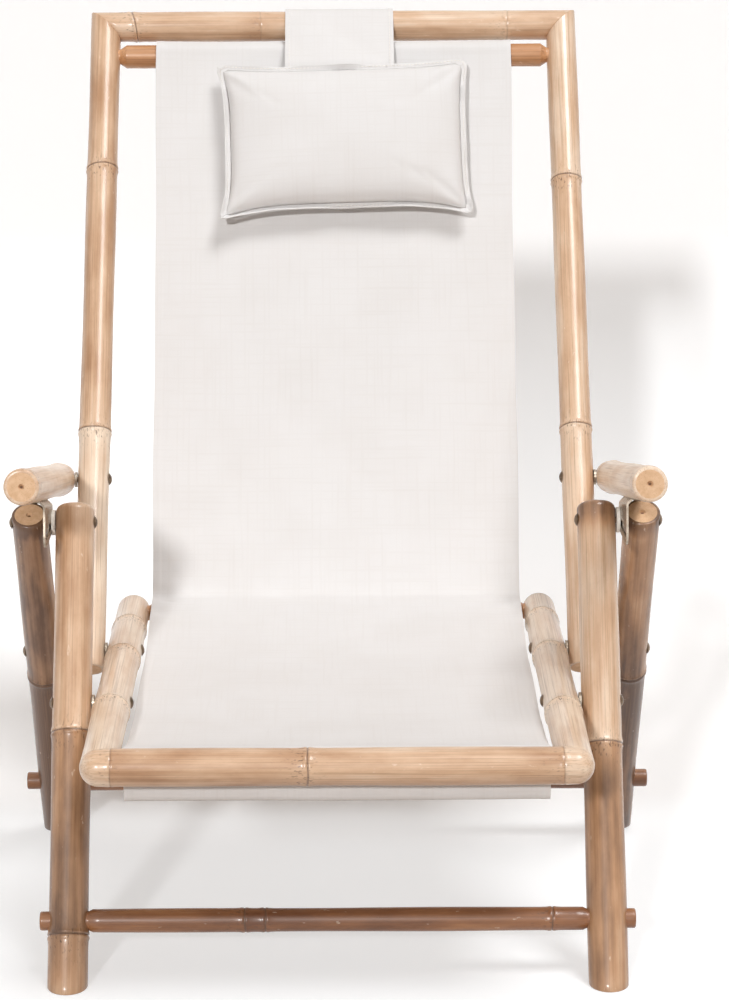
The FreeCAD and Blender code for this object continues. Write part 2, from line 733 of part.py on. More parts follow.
def hardware():
    """Connector bolts, sleeve nuts, washers and spacers of the four joints."""
    seat_inner = "(Size.seat_half_width - Size.seat_pole_radius)"
    seat_outer = "(Size.seat_half_width + Size.seat_pole_radius)"
    leg_inner = f"({FRONT_LEG_X} - Size.front_leg_radius)"
    leg_outer = f"({FRONT_LEG_X} + Size.front_leg_radius)"
    rear_outer = f"({REAR_LEG_X} + Size.rear_leg_radius)"
    rear_inner = f"({REAR_LEG_X} - Size.rear_leg_radius)"
    back_inner = f"({BACK_POLE_X} - Size.back_pole_radius)"
    back_outer = f"({BACK_POLE_X} + Size.back_pole_radius)"
    armrest_outer = f"({ARMREST_X} + Size.armrest_radius + Size.running_gap)"
    gap = "Size.running_gap"
    layer = f"(Size.side_gap - 2 * {gap})"
    connector("hinge_bolts", "hinge_sleeve_nuts", leg_inner, rear_outer, HINGE)
    connector("seat_bolts", "seat_sleeve_nuts", seat_inner, leg_outer, SEAT_BOLT)
    connector("pivot_bolts", "pivot_sleeve_nuts", seat_inner, rear_outer, PIVOT)
    connector("armrest_bolts", "armrest_sleeve_nuts", back_inner, armrest_outer, ARMREST_PIVOT)
    ring("hinge_spacers", "Size.spacer_radius", SHANK_HOLE, "Size.spacer_thickness",
         f"{leg_outer} + {gap}", HINGE)
    plate_far = f"({leg_outer} + Size.spacer_thickness + 2 * {gap} + Size.bracket_thickness)"
    ring("hinge_washers", "Size.washer_radius", SHANK_HOLE,
         f"{rear_inner} - {plate_far} - 2 * {gap}", f"{plate_far} + {gap}", HINGE)
    ring("seat_washers", "Size.washer_radius", SHANK_HOLE, layer, f"{seat_outer} + {gap}",
         SEAT_BOLT)
    ring("pivot_washers", "Size.washer_radius", SHANK_HOLE, layer, f"{seat_outer} + {gap}",
         PIVOT)
    ring("pivot_spacers", "Size.washer_radius", SHANK_HOLE,
         f"{rear_inner} - {back_outer} - 2 * {gap}", f"{back_outer} + {gap}", PIVOT)
    ring("armrest_washers", "Size.washer_radius", SHANK_HOLE, layer, f"{back_outer} + {gap}",
         ARMREST_PIVOT)


def corner_dowels(name, x, point, outward):
    """Dowels along the side poles that lock the mitred corners of a frame."""
    start = along(point, outward, -size("dowel_depth"))
    place = side_frame(x, start, outward)
    pair(name, cylinder(f"{name}_one", "Size.dowel_radius",
                        "Size.dowel_depth + Size.dowel_reach", place))


def armrest_point(point):
    """Side-view point as (height above the armrest's axis, distance from its pivot)."""
    across = point[0] - ARMREST_PIVOT[0]
    up = point[1] - ARMREST_PIVOT[1]
    return (across * math.sin(ARMREST_RISE) + up * math.cos(ARMREST_RISE),
            -across * math.cos(ARMREST_RISE) + up * math.sin(ARMREST_RISE))


def pivot_at(recline):
    """Place of the armrest's pivot when the back is reclined by an angle."""
    angle = BACK_ANGLE - math.radians(recline)
    return along(PIVOT, (math.cos(angle), math.sin(angle)), size("armrest_pivot_reach"))


HINGE_LOCAL = armrest_point(HINGE)
SLOT_DIRECTION = unit((0.0, 0.0), HINGE_LOCAL)
STEPS = (0.0, size("recline_middle"), size("recline_full"))
NOTCHES = [along((0.0, 0.0), SLOT_DIRECTION, math.dist(pivot_at(step), HINGE)) for step in STEPS]
LOBE_RADIUS = size("bolt_radius") + size("slot_clearance") + size("bracket_margin")
BRACKET_START = NOTCHES[0][1] - LOBE_RADIUS
BRACKET_END = NOTCHES[-1][1] + LOBE_RADIUS
SCREWS = (BRACKET_START + size("screw_inset"), (BRACKET_START + BRACKET_END) / 2.0,
          BRACKET_END - size("screw_inset"))
FLAT_HEIGHT = size("flange_flat") - size("armrest_radius")
BRACKET_X = (value(f"{FRONT_LEG_X} - {ARMREST_X}") + size("front_leg_radius")
             + size("spacer_thickness") + 2.0 * size("running_gap"))
SCREW_X = BRACKET_X + size("bracket_jog") + (size("bracket_flange") + size("bracket_bend")) / 2.0


def extruded(points, axis_points, direction):
    """Prism over a closed polygon of 3-D points."""
    wire = Part.makePolygon([axis_points(*point) for point in points + points[:1]])
    return Part.Face(wire).extrude(direction)


def stadium(start, end, radius, x, depth):
    """Slot-shaped prism along X between two (y, z) centres."""
    solid = None
    for centre in (start, end):
        disc = Part.makeCylinder(radius, depth, Vector(x, centre[0], centre[1]),
                                 Vector(1.0, 0.0, 0.0))
        solid = disc if solid is None else solid.fuse(disc)
    along_unit = unit(start, end)
    normal = (-along_unit[1] * radius, along_unit[0] * radius)
    corners = [(start[0] + normal[0], start[1] + normal[1]),
               (end[0] + normal[0], end[1] + normal[1]),
               (end[0] - normal[0], end[1] - normal[1]),
               (start[0] - normal[0], start[1] - normal[1])]
    box = extruded(corners, lambda y, z: Vector(x, y, z), Vector(depth, 0.0, 0.0))
    return solid.fuse(box).removeSplitter()


def tangent_path(points, radii):
    """Lines through points with each corner rounded by its radius."""
    pieces = []
    start = points[0]
    for corner, following, radius in zip(points[1:], points[2:], radii):
        before = unit(corner, start)
        after = unit(corner, following)
        half = math.acos(before[0] * after[0] + before[1] * after[1]) / 2.0
        reach = radius / math.tan(half)
        enter = along(corner, before, reach)
        leave = along(corner, after, reach)
        middle = unit((0.0, 0.0), (before[0] + after[0], before[1] + after[1]))
        centre = along(corner, middle, radius / math.sin(half))
        pieces.append(("line", start, enter))
        pieces.append(("arc", centre, enter, leave))
        start = leave
    pieces.append(("line", start, points[-1]))
    return pieces


def arc_piece(centre, start, sweep):
    """Arc as pieces of under a half circle; sweep in radians, positive to the left."""
    count = math.ceil(abs(sweep) / 2.0)
    pieces = []
    here = start
    for _ in range(count):
        there = turned(here, centre, sweep / count)
        pieces.append(("arc", centre, here, there))
        here = there
    return pieces, here


def turned(point, centre, angle):
    """Point turned about a centre."""
    across = point[0] - centre[0]
    up = point[1] - centre[1]
    return (centre[0] + across * math.cos(angle) - up * math.sin(angle),
            centre[1] + across * math.sin(angle) + up * math.cos(angle))


def offset_edges(piece, shift, place):
    """Edge of one path piece moved sideways by a signed distance."""
    if piece[0] == "line":
        heading = unit(piece[1], piece[2])
        normal = (-heading[1] * shift, heading[0] * shift)
        ends = [place(end[0] + normal[0], end[1] + normal[1]) for end in piece[1:]]
        return Part.LineSegment(*ends).toShape()
    centre, start, end = piece[1:]
    turn = ((start[0] - centre[0]) * (end[1] - centre[1])
            - (start[1] - centre[1]) * (end[0] - centre[0]))
    radius = math.dist(centre, start) - shift * math.copysign(1.0, turn)
    middle = unit(centre, ((start[0] + end[0]) / 2.0, (start[1] + end[1]) / 2.0))
    spots = [along(centre, unit(centre, start), radius), along(centre, middle, radius),
             along(centre, unit(centre, end), radius)]
    return Part.Arc(*[place(*spot) for spot in spots]).toShape()


def ribbon(path, thickness, place, depth):
    """Sheet of even thickness that follows a smooth path, as a solid."""
    left = [offset_edges(piece, thickness / 2.0, place) for piece in path]
    right = [offset_edges(piece, -thickness / 2.0, place) for piece in path]
    caps = [Part.LineSegment(left[-1].Vertexes[-1].Point, right[-1].Vertexes[-1].Point).toShape(),
            Part.LineSegment(right[0].Vertexes[0].Point, left[0].Vertexes[0].Point).toShape()]
    wire = Part.Wire(Part.__sortEdges__(left + [caps[0]] + right + [caps[1]]))
    return Part.Face(wire).extrude(depth)


def feature(name, shape, placement=None):
    """Document object that holds a shape made by the functions above."""
    item = document.addObject("Part::Feature", name)
    item.Label = name
    item.Shape = shape
    if placement is not None:
        item.Placement = placement
    return item


def bracket_shape(plate_x):
    """Notched bracket in the armrest's frame: flange, slanted jog and slotted plate."""
    thickness = size("bracket_thickness")
    middle_x = plate_x + math.copysign(thickness / 2.0, -plate_x)
    flange_y = FLAT_HEIGHT - thickness / 2.0
    outward = math.copysign(1.0, -plate_x)
    jog = size("bracket_jog")
    deep = NOTCHES[-1][0] - 2.0 * LOBE_RADIUS
    path = [(middle_x, deep), (middle_x, flange_y - jog),
            (middle_x + outward * jog, flange_y),
            (middle_x + outward * (jog + size("bracket_flange")), flange_y)]
    bend = size("bracket_bend")
    strip = ribbon(tangent_path(path, [bend, bend]), thickness,
                   lambda x, y: Vector(x, y, BRACKET_START),
                   Vector(0.0, 0.0, BRACKET_END - BRACKET_START))
    wide = 4.0 * size("armrest_radius")
    lobe = stadium(NOTCHES[0], NOTCHES[-1], LOBE_RADIUS, -wide, 2.0 * wide)
    corners = [(NOTCHES[0][0], BRACKET_START), (NOTCHES[-1][0], BRACKET_END),
               (0.0, BRACKET_END), (0.0, BRACKET_START)]
    upper = extruded(corners, lambda y, z: Vector(-wide, y, z), Vector(2.0 * wide, 0.0, 0.0))
    plate = strip.common(lobe.fuse(upper))
    reach = size("bolt_radius") + size("slot_clearance")
    plate = plate.cut(stadium(NOTCHES[0], NOTCHES[-1], reach, -wide, 2.0 * wide))
    normal = (SLOT_DIRECTION[1], -SLOT_DIRECTION[0])
    notch_radius = size("bolt_radius") + size("notch_clearance")
    for notch in NOTCHES:
        seat = along(notch, normal, size("notch_depth"))
        plate = plate.cut(stadium(notch, seat, notch_radius, -wide, 2.0 * wide))
    for distance in SCREWS:
        hole = Part.makeCylinder(size("screw_radius") + size("joint_fit"), wide,
                                 Vector(outward * SCREW_X, -wide, distance),
                                 Vector(0.0, 1.0, 0.0))
        plate = plate.cut(hole)
    return plate.removeSplitter()


def screw_shape(x, distance):
    """Pan-head screw that holds the bracket's flange to the armrest."""
    seat = FLAT_HEIGHT - size("bracket_thickness")
    up = Vector(0.0, 1.0, 0.0)
    head = Part.makeCylinder(size("screw_head_radius"), size("screw_head_height"),
                             Vector(x, seat - size("screw_head_height"), distance), up)
    shank = Part.makeCylinder(size("screw_radius"), size("screw_length"),
                              Vector(x, seat, distance), up)
    return head.fuse(shank).removeSplitter()


def armrests():
    """Armrests with the flat, the screw holes and the brackets below them."""
    for word, side in SIDES:
        name = f"{word}_armrest"
        body = culm(name, "Size.armrest_radius", "-Size.armrest_tail", "Size.armrest_length",
                    pith=True)
        cross_holes(body, f"{name}_pivot_hole", [("0", "0")], SLEEVE_HOLE)
        flat = "(Size.flange_flat - Size.armrest_radius)"
        corners = [(flat, str(BRACKET_START)), (flat, str(BRACKET_END)),
                   ("-2 * Size.armrest_radius", str(BRACKET_END)),
                   ("-2 * Size.armrest_radius", str(BRACKET_START))]
        sketch = polygon_sketch(body, f"{name}_flat_outline", "YZ_Plane", corners)
        pocket(body, f"{name}_flat", sketch, "both")
        centres = [(str(side * SCREW_X), str(distance)) for distance in SCREWS]
        depth = (f"-({flat}) - Size.screw_length + Size.bracket_thickness"
                 " - Size.running_gap")
        holes = circle_sketch(body, f"{name}_screw_circles", "XZ_Plane", centres,
                              "Size.screw_radius + Size.joint_fit", depth)
        pocket(body, f"{name}_screw_holes", holes, "along")
        place = side_frame(side * value(ARMREST_X), ARMREST_PIVOT, ARMREST_DIRECTION)
        body.Placement = place
        feature(f"{word}_notched_bracket", bracket_shape(side * BRACKET_X), place)
        screws = [screw_shape(side * SCREW_X, distance) for distance in SCREWS]
        feature(f"{word}_bracket_screws", Part.makeCompound(screws), place)


def tangent_from(point, centre, radius, side):
    """Point where a line from a point touches a circle, on its left or right."""
    distance = math.dist(point, centre)
    reach = math.sqrt(distance ** 2 - radius ** 2)
    swing = math.asin(radius / distance) * side
    heading = turned(unit(point, centre), (0.0, 0.0), swing)
    return along(point, heading, reach)


def sling():
    """Canvas sling: sleeves on the top and front bars, a loop on the rear bar."""
    thickness = size("cloth_thickness")
    wrap = size("sling_bar_radius") + size("running_gap") + thickness / 2.0
    crease = (REAR_BAR[0] + size("crease_setback"), REAR_BAR[1] + wrap + thickness)
    level = size("seat_height")
    run = [(PIVOT[0] - size("rear_dip_setback"), level - size("rear_dip")),
           (SEAT_BOLT[0] - size("middle_dip_setback"), level - size("middle_dip")),
           (FRONT_BAR[0] + size("front_dip_setback"), level - size("front_dip"))]
    top_touch = tangent_from(crease, TOP_BAR, wrap, 1)
    front_touch = tangent_from(run[-1], FRONT_BAR, wrap, -1)
    middle = tangent_path([top_touch, crease] + run + [front_touch],
                          [size("crease_radius")] + [size("sag_radius")] * 3)
    front_side = (FRONT_BAR[0] - wrap, FRONT_BAR[1])
    begin = math.atan2(front_touch[1] - FRONT_BAR[1], front_touch[0] - FRONT_BAR[0])
    over, _ = arc_piece(FRONT_BAR, front_touch, math.pi - begin)
    fold = size("sleeve_fold_radius")
    low = (front_side[0], front_side[1] - size("sleeve_hang"))
    fold_centre = (low[0] + fold, low[1])
    under, rising = arc_piece(fold_centre, low, math.radians(size("sleeve_fold_turn")))
    heading = turned(unit(fold_centre, rising), (0.0, 0.0), math.pi / 2.0)
    seam = along(rising, heading, size("sleeve_hang") - size("sleeve_seam_gap"))
    path = middle + over + [("line", front_side, low)] + under + [("line", rising, seam)]
    half = value(SLING_HALF_WIDTH)
    depth = Vector(2.0 * half, 0.0, 0.0)
    cloth = ribbon(path, thickness, lambda y, z: world(-half, (y, z)), depth)
    for bar in (TOP_BAR, REAR_BAR):
        cloth = cloth.fuse(sleeve(bar, wrap, thickness, half))
    cloth = cloth.fuse(top_hem(crease, top_touch, wrap, thickness, half))
    feature("sling", cloth.removeSplitter())
    return unit(crease, top_touch), top_touch


def sleeve(bar, wrap, thickness, half):
    """Closed sleeve of cloth round a bar."""
    start = world(-half, bar)
    across = Vector(1.0, 0.0, 0.0)
    outer = Part.makeCylinder(wrap + thickness / 2.0, 2.0 * half, start, across)
    return outer.cut(Part.makeCylinder(wrap - thickness / 2.0, 2.0 * half, start, across))


def top_hem(crease, touch, wrap, thickness, half):
    """Second layer behind the cloth where the top sleeve is sewn down."""
    heading = unit(touch, crease)
    behind = (heading[1] * thickness, -heading[0] * thickness)
    layer = (touch[0] - behind[0], touch[1] - behind[1])
    inside = wrap - thickness / 2.0
    start = along(layer, heading, math.sqrt(inside ** 2 - (inside - thickness) ** 2))
    end = along(start, heading, size("hem_length"))
    return ribbon([("line", start, end)], thickness, lambda y, z: world(-half, (y, z)),
                  Vector(2.0 * half, 0.0, 0.0))


def pillow_wire(width, height, draw, lift):
    """Pillow outline whose four sides are arcs drawn in between the corners."""
    corners = [(-width / 2.0, -height / 2.0), (width / 2.0, -height / 2.0),
               (width / 2.0, height / 2.0), (-width / 2.0, height / 2.0)]
    edges = []
    for start, end in zip(corners, corners[1:] + corners[:1]):
        middle = ((start[0] + end[0]) / 2.0, (start[1] + end[1]) / 2.0)
        inward = unit(middle, (0.0, 0.0))
        bow = along(middle, inward, draw)
        places = [Vector(spot[0], spot[1], lift) for spot in (start, bow, end)]
        edges.append(Part.Arc(*places).toShape())
    return Part.Wire(edges)


def pillow_and_strap(heading, top_touch):
    """Head pillow with a flanged seam, hung from a strap over the top rail."""
    width = size("pillow_width")
    height = size("pillow_height")
    flange = size("pillow_flange")
    draw = size("pillow_draw_in")
    back = size("pillow_back_crown")
    front = size("pillow_front_crown")
    seam = size("pillow_flange_thickness") / 2.0
    stack = [(share, -back * rise) for share, rise in PILLOW_BACK_PROFILE] + [(1.0, -2.0 * seam)]
    rim = [(width, height, draw, -seam), (width, height, draw, seam)]
    crown = [(1.0, 2.0 * seam)] + [(share, front * rise) for share, rise in PILLOW_FRONT_PROFILE]
    inner_width = width - 2.0 * flange
    inner_height = height - 2.0 * flange
    wires = [pillow_wire(inner_width * share, inner_height * share, draw * share, lift)
             for share, lift in stack]
    wires += [pillow_wire(*row) for row in rim]
    wires += [pillow_wire(inner_width * share, inner_height * share, draw * share, lift)
              for share, lift in crown]
    shape = Part.makeLoft(wires, True, True)
    normal = (-heading[1], heading[0])
    stand = size("pillow_back_crown") + size("cloth_thickness") / 2.0 + size("running_gap")
    centre = along(along(top_touch, heading, -size("pillow_top_drop") - height / 2.0), normal,
                   stand)
    x_axis = Vector(1.0, 0.0, 0.0)
    y_axis = Vector(0.0, heading[0], heading[1])
    upright = FreeCAD.Rotation(x_axis, y_axis, x_axis.cross(y_axis), "XYZ")
    tilt = FreeCAD.Rotation(Vector(0.0, 0.0, 1.0), size("pillow_tilt"))
    place = FreeCAD.Placement(world(size("pillow_shift"), centre), upright.multiply(tilt))
    feature("head_pillow", shape, place)
    strap_place(heading, normal, centre)


def strap_place(heading, normal, centre):
    """Flat strap from behind the pillow's rim over the top rail and down behind it."""
    thickness = size("strap_thickness")
    wrap = size("back_pole_radius") + size("running_gap") + thickness / 2.0
    back = -size("pillow_flange_thickness") - thickness / 2.0 - size("running_gap")
    rim = along(along(centre, heading, size("pillow_height") / 2.0 - size("pillow_draw_in")
                      - size("strap_overlap")), normal, back)
    bend = along(rim, heading, size("strap_overlap") + size("pillow_draw_in"))
    touch = tangent_from(bend, TOP_RAIL, wrap, 1)
    begin = math.atan2(touch[1] - TOP_RAIL[1], touch[0] - TOP_RAIL[0])
    over, rear = arc_piece(TOP_RAIL, touch, -begin)
    tail = (rear[0], rear[1] - size("strap_tail"))
    path = tangent_path([rim, bend, touch], [size("strap_bend_radius")])
    path += over + [("line", rear, tail)]
    half = size("strap_width") / 2.0
    edge = size("strap_shift") - half
    shape = ribbon(path, thickness, lambda y, z: world(edge, (y, z)),
                   Vector(2.0 * half, 0.0, 0.0))
    feature("pillow_strap", shape)


front_legs()
rear_legs()
stretchers()
seat_frame()
back_frame()
hardware()
corner_dowels("seat_corner_dowels", size("seat_half_width"), FRONT_RAIL, (-1.0, 0.0))
corner_dowels("back_corner_dowels", value(BACK_POLE_X), TOP_RAIL, BACK_DIRECTION)
armrests()
SLING_HEADING, SLING_TOP = sling()
pillow_and_strap(SLING_HEADING, SLING_TOP)
document.recompute()

GROUPS = (
    "hinge_bolts", "hinge_sleeve_nuts", "seat_bolts", "seat_sleeve_nuts", "pivot_bolts",
    "pivot_sleeve_nuts", "armrest_bolts", "armrest_sleeve_nuts", "hinge_spacers",
    "hinge_washers", "seat_washers", "pivot_washers", "pivot_spacers", "armrest_washers",
    "seat_corner_dowels", "back_corner_dowels", "left_notched_bracket",
    "right_notched_bracket", "left_bracket_screws", "right_bracket_screws", "sling",
    "head_pillow", "pillow_strap")


def nodes():
    """Every sub-part that is written: the culm bodies and the named groups."""
    bodies = [item for item in document.Objects if item.TypeId == "PartDesign::Body"]
    return bodies + [document.getObject(name) for name in GROUPS]


def check_and_write():
    """Stop on any failed object or bad shape, then write one file per sub-part."""
    for item in document.Objects:
        if {"Invalid", "Error"} & set(item.State):
            raise ValueError(f"{item.Name} failed: {item.State}")
    for item in nodes():
        if item.Shape.isNull() or not item.Shape.isValid() or not item.Shape.Solids:
            raise ValueError(f"{item.Label} has a bad shape")
    os.makedirs("parts", exist_ok=True)
    for item in nodes():
        item.Shape.exportStep(f"parts/{item.Label}.step")


check_and_write()
print(f"{len(nodes())} sub-parts written")
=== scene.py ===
"""Bamboo deck chair with a canvas sling, a head pillow and notched armrest brackets.

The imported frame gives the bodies, bolts and brackets. This script turns the
bamboo culms, cuts and drapes the canvas, fills the pillow and gives every
piece its finish. Lengths in the classes are millimetres in the frame of the
chair: X to the sitter's left, Y from front to back, Z up from the floor.
"""
import logging
import math
from dataclasses import dataclass, field
from enum import Enum
from typing import Callable, Optional, Sequence

import bpy
import numpy as np
from mathutils import Matrix, Vector


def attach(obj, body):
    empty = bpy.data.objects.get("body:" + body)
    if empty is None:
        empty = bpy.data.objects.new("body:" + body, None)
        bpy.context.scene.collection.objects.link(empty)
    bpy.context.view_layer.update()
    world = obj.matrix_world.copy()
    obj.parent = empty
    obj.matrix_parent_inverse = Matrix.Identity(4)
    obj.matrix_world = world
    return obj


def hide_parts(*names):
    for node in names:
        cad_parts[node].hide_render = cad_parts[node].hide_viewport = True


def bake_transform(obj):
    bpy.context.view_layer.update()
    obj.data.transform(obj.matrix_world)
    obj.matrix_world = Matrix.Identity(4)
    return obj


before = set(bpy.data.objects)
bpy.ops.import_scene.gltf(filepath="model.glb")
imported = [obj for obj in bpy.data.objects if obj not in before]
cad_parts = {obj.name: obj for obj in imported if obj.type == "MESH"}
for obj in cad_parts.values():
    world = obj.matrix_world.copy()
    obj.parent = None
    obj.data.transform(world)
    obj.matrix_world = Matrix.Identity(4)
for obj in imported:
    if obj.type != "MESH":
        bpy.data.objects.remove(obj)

LOG = logging.getLogger("deck_chair")
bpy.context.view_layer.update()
MM = 0.001
Array = np.ndarray
Piece = bpy.types.Object
Material = bpy.types.Material
Tree = bpy.types.NodeTree
Socket = bpy.types.NodeSocket


# ---------------------------------------------------------------- points

@dataclass(frozen=True)
class Layout:
    """Points of the side view as (y, z), and the layers across the chair."""

    front_foot: tuple[float, float] = (-346.935, 0.0)
    rear_foot: tuple[float, float] = (119.565, 0.0)
    hinge: tuple[float, float] = (-130.435, 398.5)
    pivot: tuple[float, float] = (-31.0, 240.0)
    seat_bolt: tuple[float, float] = (-216.546, 240.0)
    armrest_pivot: tuple[float, float] = (84.394, 392.578)
    top_rail: tuple[float, float] = (417.485, 833.004)
    top_bar: tuple[float, float] = (394.141, 802.137)
    front_rail: tuple[float, float] = (-419.435, 240.0)
    front_bar: tuple[float, float] = (-385.435, 234.0)
    rear_bar: tuple[float, float] = (114.0, 240.0)
    armrest_rise: float = 11.9
    seat_x: float = 216.0
    front_leg_x: float = 255.25
    back_x: float = 252.75
    rear_leg_x: float = 299.75
    armrest_x: float = 288.95
    bar_radius: float = 12.5
    rail_radius: float = 16.5
    cloth_gap: float = 0.3


PLAN = Layout()
# Distance of the sling from the middle of a bar that it runs round.
SLING_WRAP = PLAN.bar_radius + PLAN.cloth_gap + 0.8


class Body(Enum):
    """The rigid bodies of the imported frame."""

    BASE = "base"
    BACK = "back"
    LEFT_ARM = "left_arm"
    RIGHT_ARM = "right_arm"


class Side(Enum):
    """The sitter's two sides; the value is the sign of X."""

    RIGHT = -1
    LEFT = 1

    @property
    def word(self) -> str:
        """Return the side's word at the start of a name."""
        return self.name.lower()


def seed_of(name: str) -> int:
    """Return the seed that belongs to a name."""
    return sum(map(ord, name))


def unit(vector: Sequence[float]) -> Array:
    """Return the vector at length one."""
    array = np.asarray(vector, float)
    return array / np.linalg.norm(array)


def side_point(x: float, point: tuple[float, float]) -> Array:
    """Return the 3-D place of a side-view point at x."""
    return np.array([x, point[0], point[1]])


def smooth(low: float, high: float, value: Array) -> Array:
    """Return 0 below low, 1 above high and an even ease between them."""
    share = np.clip((value - low) / (high - low), 0.0, 1.0)
    return share * share * (3.0 - 2.0 * share)


# ---------------------------------------------------------------- meshes

def grid_faces(rows: int, columns: int, closed: bool) -> Array:
    """Quads of a grid of points numbered row by row.

    Args:
        rows: Number of rows.
        columns: Points in a row.
        closed: Whether the last column joins the first.

    Returns:
        One row of four point numbers per quad.
    """
    row = np.arange(rows - 1)[:, None] * columns
    span = columns if closed else columns - 1
    here = np.arange(span)[None, :]
    there = (here + 1) % columns
    quads = [row + here, row + there, row + there + columns, row + here + columns]
    return np.stack(quads, -1).reshape(-1, 4)


def make_piece(name: str, points: Array, quads: Array, finishes: Sequence[Material],
               sharp: float = 40.0, triangles: Optional[Array] = None,
               finish_of: Optional[Array] = None) -> Piece:
    """Put points (in millimetres) and faces into a new object at the origin.

    Args:
        name: Name of the piece.
        points: One row of x, y, z per point.
        quads: Point numbers of the four-sided faces.
        finishes: The piece's materials.
        sharp: Angle in degrees above which an edge stays sharp.
        triangles: Point numbers of the three-sided faces.
        finish_of: Number of the material of each face, quads first.

    Returns:
        The new object, linked to the scene.
    """
    mesh = bpy.data.meshes.new(name)
    faces = quads.tolist() + ([] if triangles is None else triangles.tolist())
    mesh.from_pydata((points * MM).tolist(), [], faces)
    for finish in finishes:
        mesh.materials.append(finish)
    if finish_of is not None:
        mesh.polygons.foreach_set("material_index", finish_of.astype(np.int32))
    mesh.shade_smooth()
    mesh.set_sharp_from_angle(angle=math.radians(sharp))
    mesh.update()
    piece = bpy.data.objects.new(name, mesh)
    bpy.context.scene.collection.objects.link(piece)
    return piece


def give_attribute(piece: Piece, name: str, values: Array) -> None:
    """Store one number or one vector per point on the piece."""
    kind, key = ("FLOAT", "value") if values.ndim == 1 else ("FLOAT_VECTOR", "vector")
    store = piece.data.attributes.new(name, kind, "POINT")
    store.data.foreach_set(key, values.astype(np.float32).ravel())


def give_cloth_map(piece: Piece, flat: Array) -> None:
    """Store the flat cut's coordinates, in metres, as the piece's UV map."""
    layer = piece.data.uv_layers.new(name="cut")
    corners = np.empty(len(piece.data.loops), np.int32)
    piece.data.loops.foreach_get("vertex_index", corners)
    layer.data.foreach_set("uv", (flat[corners] * MM).astype(np.float32).ravel())


# ---------------------------------------------------------------- finishes

def srgb(code: str) -> tuple[float, float, float, float]:
    """Turn an sRGB hex value into a linear colour with alpha 1."""
    parts = [int(code[start:start + 2], 16) / 255.0 for start in (1, 3, 5)]
    line = [part / 12.92 if part <= 0.04045 else ((part + 0.055) / 1.055) ** 2.4
            for part in parts]
    return (line[0], line[1], line[2], 1.0)


def feed(tree: Tree, node: bpy.types.Node, sources: dict) -> None:
    """Link sockets to a node's inputs and set the inputs that get a plain value."""
    for socket, source in sources.items():
        if isinstance(source, Socket):
            tree.links.new(source, node.inputs[socket])
        else:
            node.inputs[socket].default_value = source


def add_node(tree: Tree, kind: str, sources: Optional[dict] = None,
             **settings: object) -> bpy.types.Node:
    """Add a node with its settings, values and links.

    Args:
        tree: Tree that gets the node.
        kind: Blender's name for the node type.
        sources: Input name or number to an output socket or a value.
        settings: Attributes of the node.

    Returns:
        The new node.
    """
    node = tree.nodes.new(kind)
    for key, setting in settings.items():
        setattr(node, key, setting)
    feed(tree, node, sources or {})
    return node


def result(tree: Tree, kind: str, sources: Optional[dict] = None, output: object = 0,
           **settings: object) -> Socket:
    """Add a node and return one of its outputs, by number or by name."""
    return add_node(tree, kind, sources, **settings).outputs[output]


def new_finish(name: str) -> tuple[Material, Tree, bpy.types.Node]:
    """Start a material with an empty tree, a principled shader and its output."""
    material = bpy.data.materials.new(name)
    material.use_nodes = True
    tree = material.node_tree
    tree.nodes.clear()
    shader = add_node(tree, "ShaderNodeBsdfPrincipled")
    add_node(tree, "ShaderNodeOutputMaterial", {"Surface": shader.outputs["BSDF"]})
    return material, tree, shader


def stored(tree: Tree, name: str, output: str = "Fac") -> Socket:
    """Return a value that the piece stores at its points."""
    return result(tree, "ShaderNodeAttribute", output=output, attribute_name=name)


def calculate(tree: Tree, operation: str, *values: object) -> Socket:
    """Return what a maths operation makes of sockets or numbers."""
    return result(tree, "ShaderNodeMath", dict(enumerate(values)), operation=operation)


def ramp(tree: Tree, source: Socket, low: float, high: float, bottom: float = 0.0,
         top: float = 1.0) -> Socket:
    """Return the source stretched from low..high to bottom..top and held there."""
    return result(tree, "ShaderNodeMapRange", {
        "Value": source, "From Min": low, "From Max": high, "To Min": bottom, "To Max": top})


def blend_colours(tree: Tree, share: object, *colours: object) -> Socket:
    """Return a mix of two colours by a share; a colour may be a hex value."""
    first, second = (srgb(one) if isinstance(one, str) else one for one in colours)
    return result(tree, "ShaderNodeMix", {0: share, 6: first, 7: second}, output=2,
                  data_type="RGBA")


def lay_over(tree: Tree, body: object,
             coats: Sequence[tuple[Socket, float, float, float, str]]) -> Socket:
    """Lay coats of colour over a body.

    Args:
        tree: Tree that gets the nodes.
        body: Colour underneath.
        coats: Source, the value where the coat starts, the value where it is
            full, its share there and its colour.

    Returns:
        The colour with every coat on it.
    """
    for source, low, high, share, colour in coats:
        body = blend_colours(tree, ramp(tree, source, low, high, 0.0, share), body, colour)
    return body


def palette(tree: Tree, source: Socket, shades: Sequence[tuple[float, str]]) -> Socket:
    """Return a colour that runs through the shades, each at its own value of the source."""
    node = add_node(tree, "ShaderNodeValToRGB", {"Fac": source})
    stops = node.color_ramp.elements
    while len(stops) < len(shades):
        stops.new(0.5)
    for stop, (place, code) in zip(stops, shades):
        stop.position = place
        stop.color = srgb(code)
    return node.outputs["Color"]


def noise(tree: Tree, place: Socket, scale: object, detail: float) -> Socket:
    """Return noise at one scale, or stretched by a scale for each axis."""
    if isinstance(scale, tuple):
        place = result(tree, "ShaderNodeMapping", {"Vector": place, "Scale": scale})
        scale = 1.0
    return result(tree, "ShaderNodeTexNoise", {"Vector": place, "Scale": scale,
                                               "Detail": detail})


def grain_noise(tree: Tree, place: Socket, across: float, length: float,
                detail: float = 2.0) -> Socket:
    """Return noise whose features are across by length millimetres along the fibre."""
    return noise(tree, place, (1 / across, 1 / across, 1 / length), detail)


